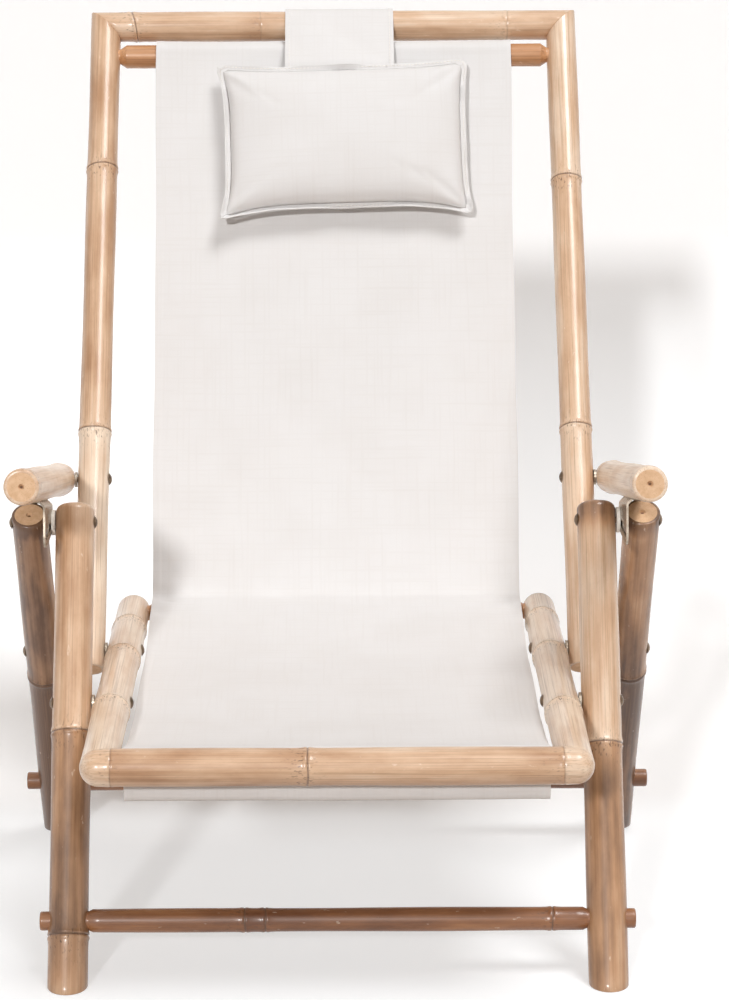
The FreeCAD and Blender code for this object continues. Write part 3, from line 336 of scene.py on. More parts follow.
def bump(tree: Tree, height: Socket, strength: float, distance: float) -> Socket:
    """Return the normal of a surface raised by a height of up to a distance in metres."""
    return result(tree, "ShaderNodeBump", {"Height": height, "Strength": strength,
                                           "Distance": distance})


@dataclass(frozen=True)
class BambooSkin:
    """Peeled and lacquered bamboo: long fibres under a clear satin coat.

    The eye sees fine streaks a millimetre wide that run the length of the culm,
    a drift from pale straw to brown that steps at the nodes, brown flecks below
    each node, whitish scrapes and a bright line of light along the coat.
    """

    name: str = "bamboo_skin_lacquered"
    shades: tuple[tuple[float, str], ...] = (
        (0.0, "#EAD5BE"), (0.35, "#D3B090"), (0.65, "#B18763"), (1.0, "#62422A"))
    fibre: str = "#8F6845"
    scar: str = "#553A26"
    scrape: str = "#F3E2CD"
    fibre_mm: float = 1.2
    streak_mm: float = 6.0
    blotch_mm: float = 24.0
    roughness: float = 0.4
    blotch_shift: float = 0.19
    streak_shift: float = 0.11
    fibre_share: float = 0.46
    scrape_share: float = 0.35
    fleck_share: float = 0.9
    roughness: float = 0.4
    coat: float = 0.5

    def build(self) -> Material:
        """Build the material."""
        material, tree, shader = new_finish(self.name)
        place = stored(tree, "grain", "Vector")
        fine = grain_noise(tree, place, self.fibre_mm, 120.0, 3.0)
        streak = grain_noise(tree, place, self.streak_mm, 190.0)
        blotch = grain_noise(tree, place, self.blotch_mm, 70.0, 5.0)
        fleck = grain_noise(tree, place, 1.6, 5.0, 1.0)
        patch = grain_noise(tree, place, 5.0, 12.0, 4.0)
        drift = calculate(
            tree, "ADD", ramp(tree, blotch, 0.3, 0.7, -self.blotch_shift, self.blotch_shift),
            ramp(tree, streak, 0.3, 0.7, -self.streak_shift, self.streak_shift))
        body = palette(tree, calculate(tree, "ADD", stored(tree, "tone"), drift), self.shades)
        body = lay_over(tree, body, [(fine, 0.5, 0.72, self.fibre_share, self.fibre),
                                     (patch, 0.69, 0.75, self.scrape_share, self.scrape)])
        spots = calculate(tree, "MULTIPLY", ramp(tree, fleck, 0.6, 0.7, 0.0, self.fleck_share),
                          stored(tree, "near_node"))
        scars = calculate(tree, "MULTIPLY", stored(tree, "scar_line"),
                          ramp(tree, patch, 0.3, 0.62, 0.6, 0.95))
        for share in (spots, scars):
            body = blend_colours(tree, share, body, self.scar)
        feed(tree, shader, {
            "Base Color": body, "Coat Weight": self.coat, "Coat Roughness": 0.2,
            "Roughness": ramp(tree, streak, 0.2, 0.8, self.roughness - 0.07,
                              self.roughness + 0.12),
            "Normal": bump(tree, fine, 0.3, 0.0003)})
        return material


@dataclass(frozen=True)
class BambooCut:
    """Sawn and sanded culm end: pale wood dotted with fibre bundles, oiled dark at the rim, with
    painted shade in the hollow middle.
    """

    name: str = "bamboo_end_sanded"
    wood: str = "#DDB995"
    ring: str = "#BE9166"
    bundle: str = "#B08256"
    pith: str = "#6B4A30"
    bundle_mm: float = 1.6

    def build(self) -> Material:
        """Build the material."""
        material, tree, shader = new_finish(self.name)
        place, edge = stored(tree, "grain", "Vector"), stored(tree, "rim")
        dots = result(tree, "ShaderNodeTexVoronoi",
                      {"Vector": place, "Scale": 1.0 / self.bundle_mm}, "Distance")
        cloud = grain_noise(tree, place, 6.0, 6.0, 3.0)
        # The last coat paints the culm's hollow middle dark: painted shade of the hole.
        body = lay_over(tree, self.wood, [
            (cloud, 0.35, 0.7, 0.5, self.ring), (dots, 0.32, 0.12, 0.45, self.bundle),
            (edge, 0.86, 0.97, 0.6, self.ring), (edge, 0.11, 0.06, 1.0, self.pith)])
        feed(tree, shader, {"Base Color": body, "Roughness": 0.62,
                            "Normal": bump(tree, dots, 0.25, 0.0003)})
        return material


@dataclass(frozen=True)
class Canvas:
    """Unbleached cotton canvas in plain weave: matt, with slubs, a soft sheen and painted shade in
    the low points of the weave.

    The real threads are 0.5 mm apart; they are drawn 1.5 mm apart so that the
    weave still shows from where a chair is looked at.
    """

    name: str = "cotton_canvas_unbleached"
    cloth: str = "#E1E0E0"
    slub: str = "#CDC8C3"
    thread_mm: float = 1.5
    slub_mm: float = 3.0
    bump: float = 0.22

    def build(self) -> Material:
        """Build the material; the weave follows the flat cut's UV map."""
        material, tree, shader = new_finish(self.name)
        place = result(tree, "ShaderNodeUVMap", uv_map="cut")
        turns = 2.0 * math.pi / (self.thread_mm * MM)
        parts = add_node(tree, "ShaderNodeSeparateXYZ", {0: place}).outputs
        weave = calculate(tree, "MULTIPLY", *(
            calculate(tree, "SINE", calculate(tree, "MULTIPLY", parts[axis], turns))
            for axis in (0, 1)))
        thin = 1 / (self.slub_mm * MM)
        warp, weft, cloud = (noise(tree, place, scale, 3.0) for scale in (
            (thin, 9.0, 1.0), (9.0, thin, 1.0), (14.0, 14.0, 1.0)))
        uneven = calculate(tree, "MAXIMUM", warp, weft)
        body = lay_over(tree, self.cloth, [(uneven, 0.5, 0.8, 0.2, self.slub),
                                           (cloud, 0.4, 0.75, 0.18, self.slub)])
        # Painted shade: the low points of the weave, where the bump is lowest, are darkened
        # towards the slub colour.
        body = blend_colours(tree, ramp(tree, weave, -1.0, -0.2, 0.2, 0.0), body, self.slub)
        height = calculate(tree, "MULTIPLY_ADD", weave, 0.5, uneven)
        feed(tree, shader, {
            "Base Color": body, "Roughness": 0.92, "Sheen Weight": 0.12,
            "Sheen Roughness": 0.5, "Normal": bump(tree, height, self.bump, 0.0004)})
        return material


@dataclass(frozen=True)
class PlatedSteel:
    """Nickel-plated steel: warm grey, satin, with the fine lines of rolling."""

    name: str = "nickel_plated_steel"
    plate: str = "#B9AC9C"
    dull: str = "#857868"
    line_mm: float = 0.8
    roughness: float = 0.3

    def build(self) -> Material:
        """Build the material on Object coordinates."""
        material, tree, shader = new_finish(self.name)
        place = result(tree, "ShaderNodeTexCoord", output="Object")
        line = 1 / (self.line_mm * MM)
        brushed = noise(tree, place, (line, 60.0, line), 2.0)
        stains = noise(tree, place, 140.0, 4.0)
        feed(tree, shader, {
            "Base Color": lay_over(tree, self.plate, [(stains, 0.42, 0.7, 0.7, self.dull)]),
            "Metallic": 1.0, "Normal": bump(tree, brushed, 0.15, 0.0001),
            "Roughness": ramp(tree, brushed, 0.3, 0.7, self.roughness - 0.08,
                              self.roughness + 0.12)})
        return material


@dataclass(frozen=True)
class MouldedNylon:
    """Injection-moulded nylon: milky white, slightly waxy, faintly mottled."""

    name: str = "nylon_moulded_white"
    milk: str = "#EDEAE3"
    shade: str = "#DAD5CB"

    def build(self) -> Material:
        """Build the material on Object coordinates."""
        material, tree, shader = new_finish(self.name)
        place = result(tree, "ShaderNodeTexCoord", output="Object")
        mottle = noise(tree, place, 350.0, 3.0)
        feed(tree, shader, {
            "Base Color": lay_over(tree, self.milk, [(mottle, 0.35, 0.7, 1.0, self.shade)]),
            "Roughness": 0.45, "Normal": bump(tree, mottle, 0.1, 0.0002)})
        return material


@dataclass(frozen=True)
class BeechDowel:
    """Turned beech: pinkish tan with short dark rays along the grain."""

    name: str = "beech_dowel_turned"
    wood: str = "#D2A679"
    ray: str = "#9C7048"

    def build(self) -> Material:
        """Build the material on Object coordinates."""
        material, tree, shader = new_finish(self.name)
        place = result(tree, "ShaderNodeTexCoord", output="Object")
        rays = noise(tree, place, 900.0, 2.0)
        feed(tree, shader, {
            "Base Color": lay_over(tree, self.wood, [(rays, 0.45, 0.7, 0.7, self.ray)]),
            "Roughness": 0.6})
        return material


@dataclass
class Finishes:
    """The chair's materials, each built once."""

    skin: Material = field(default_factory=lambda: BambooSkin().build())
    dark_skin: Material = field(default_factory=lambda: BambooSkin(
        name="bamboo_skin_toasted", fibre="#6B4225",
        shades=((0.0, "#D3A278"), (0.35, "#BB8557"), (0.65, "#94623C"), (1.0, "#693D1F")),
    ).build())
    cut: Material = field(default_factory=lambda: BambooCut().build())
    canvas: Material = field(default_factory=lambda: Canvas().build())
    thread: Material = field(default_factory=lambda: Canvas(
        name="cotton_thread_twisted", cloth="#F4F0EA", slub="#DDD5C9", bump=0.5).build())
    steel: Material = field(default_factory=lambda: PlatedSteel().build())
    bronzed: Material = field(default_factory=lambda: PlatedSteel(
        name="bronzed_steel", plate="#84715E", dull="#4B3E33", roughness=0.38).build())
    nylon: Material = field(default_factory=lambda: MouldedNylon().build())
    beech: Material = field(default_factory=lambda: BeechDowel().build())


# ---------------------------------------------------------------- bamboo

@dataclass
class Culm:
    """One length of bamboo, worked out round and along its axis.

    At the angle a and the distance s along the axis the surface stands
    radius x (1 + oval x cos(2a + turn)) from the axis, plus the ridges and scars
    of the nodes. Each row is pushed along the axis until the two end rows lie
    in the planes of the cuts.
    """

    name: str
    start: Array
    end: Array
    radius: float
    nodes: tuple[float, ...] = ()
    strengths: tuple[float, ...] = ()
    start_cut: Optional[Array] = None
    end_cut: Optional[Array] = None
    start_ease: float = 1.6
    end_ease: float = 1.6
    start_ball: bool = False
    end_ball: bool = False
    # Whether the end faces dent in at the middle; the cut finish paints shade in the middle of
    # every end.
    pith: bool = False
    ridge: float = 1.0
    tones: tuple[float, ...] = (0.4,)
    # The next two fields shift the far end's tone: painted shade of the armrest on the left front
    # leg's top, painted light over that shadow on the right front leg's top, and a darker top on
    # the rear legs.
    stained: float = 0.0
    stain: float = 0.3
    seed: int = 0
    steps: Optional[Callable[[Array], Array]] = None
    around: int = 72

    def axes(self) -> tuple[Array, Array, Array, float]:
        """Return two directions across the axis, the axis and its length."""
        axis = unit(self.end - self.start)
        first = np.array([1.0, 0.0, 0.0])
        if abs(axis[0]) > 0.9:
            first = np.array([0.0, -1.0, 0.0])
        second = unit(np.cross(axis, first))
        first = np.cross(second, axis)
        return first, second, axis, float(np.linalg.norm(self.end - self.start))

    def rows(self, length: float) -> Array:
        """Return distances along the axis, close together at each node and rim."""
        parts = [np.linspace(0.0, length, max(8, int(length / 7.0)))]
        for node in self.nodes:
            parts.append(node + np.linspace(-14.0, 10.0, 41))
        if self.steps is not None:
            parts.append(np.linspace(0.0, 46.0, 60))
            parts.append(length - np.linspace(0.0, 46.0, 60))
        rows = np.unique(np.round(np.concatenate(parts), 2))
        return rows[(rows >= 0.0) & (rows <= length)]

    def relief(self, rows: Array, angles: Array) -> tuple[Array, Array, Array]:
        """Return the height of the nodes, the dark scar line and the nearness of a node.

        A node is a swelling that rises over 12 mm, a sharp scar at its top, and a
        small second ridge above the scar.
        """
        rng = np.random.default_rng(self.seed + 11)
        height = np.zeros((len(rows), len(angles)))
        line = np.zeros_like(height)
        near = np.zeros_like(height)
        strengths = self.strengths or (1.0,) * len(self.nodes)
        for node, strength in zip(self.nodes, strengths):
            sway = 0.5 * np.sin(angles + rng.uniform(0, 6.28)) + 0.25 * np.sin(
                3 * angles + rng.uniform(0, 6.28))
            gap = rows[:, None] - node - sway[None, :]
            ridge = self.ridge * strength
            height += 0.75 * ridge * np.exp(-(gap / 6.5) ** 2)
            height += 0.45 * ridge * np.exp(-((gap + 2.4) / 1.5) ** 2)
            height -= 0.75 * ridge * np.exp(-((gap - 0.2) / 0.8) ** 2)
            height += 0.35 * ridge * np.exp(-((gap - 2.2) / 1.4) ** 2)
            line = np.maximum(line, strength * np.exp(-((gap - 0.2) / 0.75) ** 2))
            near = np.maximum(near, 0.75 * strength * np.exp(-((gap + 5.0) / 13.0) ** 2))
        return height, line, near

    def shade(self, places: Array, length: float) -> Array:
        """Return the depth of colour at places along the axis.

        Each stretch between two nodes has its own tone, which drifts by a slow
        wave. The far end's tone shifts over its last millimetres: this paints
        shade of the armrest on the left front leg's top, paints light over that
        shadow on the right front leg's top, and darkens the rear legs' tops.
        """
        tones = np.array(self.tones)
        stretch = np.searchsorted(np.array(self.nodes), places)
        tone = tones[np.minimum(stretch, len(tones) - 1)]
        tone = tone + 0.05 * np.sin(places / 67.0 + self.seed)
        if self.stained:
            tone = tone + self.stain * smooth(length - self.stained,
                                              length - 0.2 * self.stained, places)
        return tone

    def build(self, skin: Material, cut: Material) -> Piece:
        """Build the culm with its skin and its cut ends.

        Args:
            skin: Finish of the outer face.
            cut: Finish of the sawn ends.

        Returns:
            The piece.
        """
        first, second, axis, length = self.axes()
        rng = np.random.default_rng(self.seed)
        angles = np.linspace(0.0, 2.0 * math.pi, self.around, endpoint=False)
        rows = self.rows(length)
        height, line, near = self.relief(rows, angles)
        oval = 1.0 + 0.006 * np.cos(2 * angles + rng.uniform(0, 6.28))
        wave = 0.25 * np.sin(rows / 37.0 + rng.uniform(0, 6.28))
        radius = self.radius * oval[None, :] + height + wave[:, None]
        if self.steps is not None:
            radius = radius - self.radius + np.minimum(
                self.steps(np.minimum(rows, length - rows)), self.radius)[:, None]
        tops = (self.end_rows(radius[0], self.start_ball, self.start_ease),
                self.end_rows(radius[-1], self.end_ball, self.end_ease))
        return self.assemble(rows, radius, tops, (line, near), (first, second, axis, length),
                             (skin, cut))

    def end_rows(self, edge: Array, ball: bool, ease: float) -> tuple[Array, Array, Array]:
        """Work out one end: a quarter round of the ease, or half a ball of the radius.

        Args:
            edge: Radius of the side at this end, by angle.
            ball: Whether the end is half a ball.
            ease: Radius of the rounded rim of a sawn end.

        Returns:
            The rim's radii, its distances from the end inwards and the face's radii.
        """
        reach = self.radius if ball else ease
        count = 12 if reach > 4.0 else 4
        bend = np.linspace(0.0, math.pi / 2.0, count + 1)[1:]
        rim = edge[None, :] - reach * (1.0 - np.cos(bend))[:, None]
        inwards = -reach * np.sin(bend) if ball else reach * (1.0 - np.sin(bend))
        shrink = np.array([0.92, 0.7, 0.4, 0.2, 0.1])
        return rim, inwards, np.maximum(rim[-1], 0.02)[None, :] * shrink[:, None]

    def assemble(self, rows: Array, radius: Array, tops: tuple, marks: tuple[Array, Array],
                 axes: tuple, finishes: tuple) -> Piece:
        """Join the side, the rims and the end faces into one closed mesh.

        Args:
            rows: Distances of the side's rows along the axis.
            radius: Radius of the side, by row and angle.
            tops: Rim radii, rim distances and face radii of each end.
            marks: Scar line and nearness of a node, by row and angle.
            axes: Two directions across the axis, the axis and its length.
            finishes: Skin and cut materials.

        Returns:
            The piece.
        """
        first, second, axis, length = axes
        angles = np.linspace(0.0, 2.0 * math.pi, self.around, endpoint=False)
        (rim0, push0, face0), (rim1, push1, face1) = tops
        blocks: list[tuple[Array, ...]] = []

        def block(radii: Array, places: Array, is_cut: float,
                  lines: Optional[tuple[Array, Array]] = None) -> None:
            """Add rows of radii at places, with the two marks and whether they are a cut."""
            blank = np.zeros(radii.shape)
            blocks.append((radii, np.broadcast_to(places[:, None], radii.shape),
                           *(lines or (blank, blank)), np.full(len(radii), is_cut)))

        if not self.start_ball:
            block(face0[::-1], np.zeros(len(face0)), 1.0)
        block(rim0[::-1], push0[::-1], 0.0)
        keep = ((rows > self.start_ease * (not self.start_ball)) &
                (rows < length - self.end_ease * (not self.end_ball)))
        block(radius[keep], rows[keep], 0.0, (marks[0][keep], marks[1][keep]))
        block(rim1, length - push1, 0.0)
        if not self.end_ball:
            block(face1, np.full(len(face1), length), 1.0)
        radii, places, line, near, cut_rows = (np.concatenate(one) for one in zip(*blocks))
        across = (np.cos(angles)[None, :, None] * first + np.sin(angles)[None, :, None]
                  * second) * radii[:, :, None]
        for cut_plane, at_start in ((self.start_cut, True), (self.end_cut, False)):
            if cut_plane is None:
                continue
            lean = -(across @ cut_plane) / float(axis @ cut_plane)
            away = places if at_start else length - places
            fade = np.clip(1.0 - away / (2.6 * self.radius), 0.0, 1.0)
            places = places + lean * fade
        points = self.start + across + places[:, :, None] * axis
        if self.pith:
            pith_depth, pith_share = 2.5, 0.14
            depth = pith_depth * (radii < pith_share * self.radius) * (cut_rows[:, None] > 0.5)
            middle = np.where(places > length / 2.0, -1.0, 1.0)
            points = points + (depth * middle)[:, :, None] * axis
        count = len(radii)
        flat = points.reshape(-1, 3)
        poles = np.stack([flat[:self.around].mean(0), flat[-self.around:].mean(0)])
        flat = np.concatenate([flat, poles])
        quads = grid_faces(count, self.around, True)
        here = np.arange(self.around)
        there = (here + 1) % self.around
        last = (count - 1) * self.around
        low = np.stack([there, here, np.full_like(here, count * self.around)], -1)
        high = np.stack([last + here, last + there,
                         np.full_like(here, count * self.around + 1)], -1)
        finish_of = np.concatenate([
            (cut_rows[:-1] * cut_rows[1:]).repeat(self.around),
            np.full(self.around, float(not self.start_ball)),
            np.full(self.around, float(not self.end_ball))])
        piece = make_piece(self.name, flat, quads, finishes,
                           triangles=np.concatenate([low, high]), finish_of=finish_of)
        local = np.concatenate([
            np.stack([np.cos(angles)[None, :] * radii, np.sin(angles)[None, :] * radii,
                      places], -1).reshape(-1, 3),
            np.array([[0.0, 0.0, 0.0], [0.0, 0.0, length]])])
        apart = 137.0 * (self.seed + 1)
        give_attribute(piece, "grain", local + apart)
        for name, values, at_poles in (
                ("tone", self.shade(places.ravel(), length), (self.tones[0], self.tones[-1])),
                ("scar_line", line.ravel(), (0.0, 0.0)),
                ("near_node", near.ravel() + 0.06, (0.0, 0.0)),
                ("rim", (radii / self.radius).ravel(), (0.0, 0.0))):
            give_attribute(piece, name, np.append(values, at_poles))
        return piece


def shares(span: float, *values: float) -> tuple[float, ...]:
    """Return node places as shares of a span."""
    return tuple(span * value for value in values)


def settle(culm: Culm, node: str, body: Body, skin: Material, cut: Material) -> Piece:
    """Build a culm in place of its CAD node and set it on its body."""
    piece = culm.build(skin, cut)
    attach(piece, body.value)
    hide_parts(node)
    return piece


@dataclass
class BaseFrame:
    """Crossed legs, seat frame and stretchers, which stand still."""

    finishes: Finishes
    leg_radius: float = 19.0
    rear_radius: float = 17.5
    seat_radius: float = 17.25
    front_head: float = 17.0
    rear_head: float = 11.0
    seat_tail: float = 157.0
    stretcher_radius: float = 11.25
    tenon_radius: float = 9.2
    shoulder_gap: float = 0.3

    def build(self) -> list[Piece]:
        """Build every piece of the base and set it on its body."""
        pieces = [self.leg(side, True) for side in Side] + [self.leg(side, False) for side in Side]
        pieces += [self.seat_pole(side) for side in Side]
        pieces += [self.front_rail(), self.stretcher(True), self.stretcher(False)]
        pieces += [self.bar("seat_front_bar", PLAN.front_bar, 41),
                   self.bar("seat_rear_bar", PLAN.rear_bar, 42)]
        return pieces

    def settle(self, culm: Culm, node: str, skin: Optional[Material] = None) -> Piece:
        """Build a culm of the base; its skin is the pale one unless another is given."""
        return settle(culm, node, Body.BASE, skin or self.finishes.skin, self.finishes.cut)

    def leg(self, side: Side, front: bool) -> Piece:
        """Build one leg with its level foot."""
        name = f"{side.word}_{'front' if front else 'rear'}_leg"
        x = side.value * (PLAN.front_leg_x if front else PLAN.rear_leg_x)
        start = side_point(x, PLAN.front_foot if front else PLAN.rear_foot)
        hinge = side_point(x, PLAN.hinge)
        span = float(np.linalg.norm(hinge - start))
        head = self.front_head if front else self.rear_head
        # Each leg: node shares, tones, the end's tone shift and its reach in mm. The left front
        # leg's shift is painted shade of the armrest above; the right front leg's negative shift
        # is painted light over the armrest's shadow.
        rings, tones, stain, stained = {
            "right_front_leg": ((0.106, 0.538), (0.56, 0.78, 0.44), -0.15, 24.0),
            "left_front_leg": ((0.507,), (0.69, 0.28), 0.6, 42.0),
            "right_rear_leg": ((0.529,), (1.2, 0.92), 0.3, 24.0),
            "left_rear_leg": ((0.538,), (0.98, 0.68), 0.3, 24.0)}[name]
        culm = Culm(f"{name}_culm", start, start + unit(hinge - start) * (span + head),
                    self.leg_radius if front else self.rear_radius, shares(span, *rings),
                    start_cut=np.array([0.0, 0.0, 1.0]), end_ease=7.0 if front else 1.8,
                    pith=not front, tones=tones, stained=stained, stain=stain,
                    seed=seed_of(name))
        return self.settle(culm, name)

    def seat_pole(self, side: Side) -> Piece:
        """Build one side pole of the seat, from the front corner to behind the pivot."""
        name = f"{side.word}_seat_pole"
        start = side_point(side.value * PLAN.seat_x, PLAN.front_rail)
        end = side_point(side.value * PLAN.seat_x, (PLAN.pivot[0] + self.seat_tail,
                                                    PLAN.pivot[1]))
        rings, tones = {
            "right_seat_pole": ((0.316, 0.641, 0.848), (0.12, 0.1, 0.16, 0.24)),
            "left_seat_pole": ((0.289, 0.648, 0.888), (0.08, 0.06, 0.06, 0.12))}[name]
        span = float(np.linalg.norm(end - start))
        culm = Culm(f"{name}_culm", start, end, self.seat_radius, shares(span, *rings),
                    start_ease=0.4, pith=True, tones=tones, seed=seed_of(name))
        return self.settle(culm, name)

    def front_rail(self) -> Piece:
        """Build the front rail; the corners beyond its two seams match the side poles."""
        ends = [side_point(side.value * PLAN.seat_x, PLAN.front_rail) for side in Side]
        culm = Culm("seat_front_rail_culm", ends[0], ends[1], self.seat_radius,
                    shares(PLAN.seat_x, 0.05, 0.875, 1.95), (0.45, 1.0, 0.45),
                    start_ball=True, end_ball=True, ridge=0.7, tones=(0.2, 0.5, 0.42, 0.14),
                    seed=7)
        return self.settle(culm, "seat_front_rail")

    def stretcher(self, front: bool) -> Piece:
        """Build a stretcher with the chamfered shoulders of its tenons."""
        foot, leg_x, height = ((PLAN.front_foot, PLAN.front_leg_x, 55.0) if front
                               else (PLAN.rear_foot, PLAN.rear_leg_x, 65.0))
        radius = self.leg_radius if front else self.rear_radius
        heading = unit(side_point(0.0, PLAN.hinge) - side_point(0.0, foot))
        middle = side_point(0.0, foot) + heading * (height / heading[2])
        over = 8.0 if front else 12.5
        tip = leg_x + radius + over
        shoulder = tip - (leg_x - radius - self.shoulder_gap)

        def steps(near: Array) -> Array:
            """Tenon radius, then a shoulder that opens over four millimetres."""
            return self.tenon_radius + (self.stretcher_radius - self.tenon_radius) * np.clip(
                (near - shoulder) / 4.0, 0.0, 1.0)

        rings = (-0.345, -0.27, 0.795) if front else (-0.5, 0.32)
        reach = np.array([tip, 0.0, 0.0])
        name = "front_stretcher" if front else "rear_stretcher"
        culm = Culm(f"{name}_culm", middle - reach, middle + reach, self.stretcher_radius,
                    tuple(tip + share * leg_x for share in rings), ridge=0.55,
                    tones=(0.67, 0.82, 0.72), seed=23 if front else 29, steps=steps,
                    pith=True, around=56)
        return self.settle(culm, name, self.finishes.dark_skin)

    def bar(self, name: str, point: tuple[float, float], seed: int) -> Piece:
        """Build one of the seat's thin bars that the sling runs over."""
        culm = sling_bar(name, PLAN.seat_x, self.seat_radius, point, seed)
        return self.settle(culm, name, self.finishes.dark_skin)


def sling_bar(name: str, pole_x: float, pole_radius: float, point: tuple[float, float],
              seed: int) -> Culm:
    """Thin bar whose ends taper into the tenons that sit in the side poles."""
    gap, tenon, taper = 0.3, 8.0, 7.0
    tip = pole_x - gap
    shoulder = tip - (pole_x - pole_radius - gap)

    def steps(near: Array) -> Array:
        """Tenon radius, then a taper up to the bar's own radius."""
        return tenon + (PLAN.bar_radius - tenon) * np.clip((near - shoulder) / taper, 0.0, 1.0)

    return Culm(f"{name}_culm", side_point(-tip, point), side_point(tip, point),
                PLAN.bar_radius, (), start_ease=0.4, end_ease=0.4, tones=(0.25,), seed=seed,
                steps=steps, around=56)


@dataclass
class BackFrame:
    """The reclining back: two poles mitred to the top rail, and the sling's top bar."""

    finishes: Finishes
    radius: float = PLAN.rail_radius
    length: float = 743.5
    tail: float = 21.0

    def build(self) -> list[Piece]:
        """Build the culms of the back and set them on its body."""
        heading = unit(side_point(0.0, PLAN.top_rail) - side_point(0.0, PLAN.pivot))
        across = np.array([1.0, 0.0, 0.0])
        pieces = []
        for side in Side:
            name = f"{side.word}_back_pole"
            x = side.value * PLAN.back_x
            rings, tones = {"right_back_pole": ((0.330, 0.755), (0.06, 0.46, 0.48)),
                            "left_back_pole": ((0.332, 0.733), (0.24, 0.38, 0.2))}[name]
            culm = Culm(f"{name}_culm", side_point(x, PLAN.pivot) - heading * self.tail,
                        side_point(x, PLAN.top_rail), self.radius,
                        tuple(self.tail + self.length * share for share in rings),
                        end_cut=unit(heading - across * side.value), end_ease=0.5,
                        tones=tones, seed=seed_of(name))
            pieces.append(self.settle(culm, name, self.finishes.skin))
        ends = [side_point(side.value * PLAN.back_x, PLAN.top_rail) for side in Side]
        rail = Culm("back_top_rail_culm", ends[0], ends[1], self.radius,
                    shares(PLAN.back_x, 0.125, 0.68, 1.763), (1.0, 0.25, 0.35),
                    start_cut=unit(heading + across), end_cut=unit(heading - across),
                    start_ease=0.5, end_ease=0.5, ridge=0.6, tones=(0.36, 0.42, 0.34, 0.38),
                    seed=5)
        pieces.append(self.settle(rail, "back_top_rail", self.finishes.skin))
        bar = sling_bar("back_sling_bar", PLAN.back_x, self.radius, PLAN.top_bar, 43)
        pieces.append(self.settle(bar, "back_sling_bar", self.finishes.dark_skin))
        return pieces

    def settle(self, culm: Culm, node: str, skin: Material) -> Piece:
        """Build a culm of the back in place of its CAD node."""
        return settle(culm, node, Body.BACK, skin, self.finishes.cut)


@dataclass
class Armrests:
    """The two armrest culms that swing on the back poles."""

    finishes: Finishes
    radius: float = 16.7
    length: float = 410.0
    tail: float = 19.0

    def build(self) -> list[Piece]:
        """Build both armrests."""
        rise = math.radians(PLAN.armrest_rise)
        heading = np.array([0.0, -math.cos(rise), math.sin(rise)])
        pieces = []
        for side, body, rings, tone in ((Side.RIGHT, Body.RIGHT_ARM, (0.046, 0.968), 0.24),
                                        (Side.LEFT, Body.LEFT_ARM, (0.051, 0.962), 0.08)):
            name = f"{side.word}_armrest"
            pivot = side_point(side.value * PLAN.armrest_x, PLAN.armrest_pivot)
            culm = Culm(f"{name}_culm", pivot - heading * self.tail,
                        pivot + heading * self.length, self.radius,
                        tuple(self.tail + self.length * share for share in rings),
                        start_ease=3.0, end_ease=2.2, pith=True, ridge=0.6, tones=(tone,),
                        seed=seed_of(name))
            pieces.append(settle(culm, name, body, self.finishes.skin, self.finishes.cut))
        return pieces


# ---------------------------------------------------------------- hardware

@dataclass
class Hardware:
    """Bolts, sleeve nuts, washers, spacers and screws, kept from the frame."""

    finishes: Finishes

    def dress(self) -> int:
        """Give each CAD node that still shows its finish and return how many."""
        count = 0
        for name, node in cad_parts.items():
            if node.hide_render:
                continue
            finish = self.finishes.steel
            if name == "hinge_spacers":
                finish = self.finishes.nylon
            elif name.endswith("dowels"):
                finish = self.finishes.beech
            elif name.endswith(("bolts", "nuts", "screws")):
                finish = self.finishes.bronzed
            node.data.materials.clear()
            node.data.materials.append(finish)
            count += 1
        return count


# ---------------------------------------------------------------- canvas

@dataclass
class SheetPath:
    """A line in the side view that a sheet of cloth follows, with even steps."""

    points: Array

    @staticmethod
    def through(corners: Sequence[tuple[float, float]], radii: Sequence[float],
                step: float = 4.0) -> "SheetPath":
        """Run straight between corners and round each by an arc of its radius.

        Args:
            corners: Points of the route, ends included.
            radii: Radius at each inner corner.
            step: Distance between the points that are returned.

        Returns:
            The path.
        """
        route = [np.asarray(corner, float) for corner in corners]
        dense = [route[0]]
        for index, radius in enumerate(radii, 1):
            before = unit(route[index - 1] - route[index])
            after = unit(route[index + 1] - route[index])
            half = math.acos(float(np.clip(before @ after, -1, 1))) / 2.0
            reach = radius / math.tan(half)
            centre = route[index] + unit(before + after) * radius / math.sin(half)
            enter = route[index] + before * reach - centre
            leave = route[index] + after * reach - centre
            sweep = math.pi - 2.0 * half
            share = np.linspace(0.0, 1.0, 12)[:, None]
            arc = (np.sin((1 - share) * sweep) * enter + np.sin(share * sweep) * leave
                   ) / math.sin(sweep)
            dense.extend(list(centre + arc))
        dense.append(route[-1])
        return SheetPath(SheetPath.even(np.array(dense), step))

    @staticmethod
    def even(points: Array, step: float) -> Array:
        """Return points spaced evenly along a line of points."""
        gaps = np.linalg.norm(np.diff(points, axis=0), axis=1)
        points = points[np.append(True, gaps > 1e-6)]
        gaps = np.linalg.norm(np.diff(points, axis=0), axis=1)
        along = np.append(0.0, np.cumsum(gaps))
        count = max(2, int(along[-1] / step) + 1)
        places = np.linspace(0.0, along[-1], count)
        return np.stack([np.interp(places, along, points[:, axis]) for axis in (0, 1)], -1)

    def normals(self) -> Array:
        """Return the unit normal to the left of the line at each point."""
        slope = np.gradient(self.points, axis=0)
        slope /= np.linalg.norm(slope, axis=1)[:, None]
        return np.stack([-slope[:, 1], slope[:, 0]], -1)

    def lengths(self) -> Array:
        """Return the distance of each point along the line."""
        gaps = np.linalg.norm(np.diff(self.points, axis=0), axis=1)
        return np.append(0.0, np.cumsum(gaps))


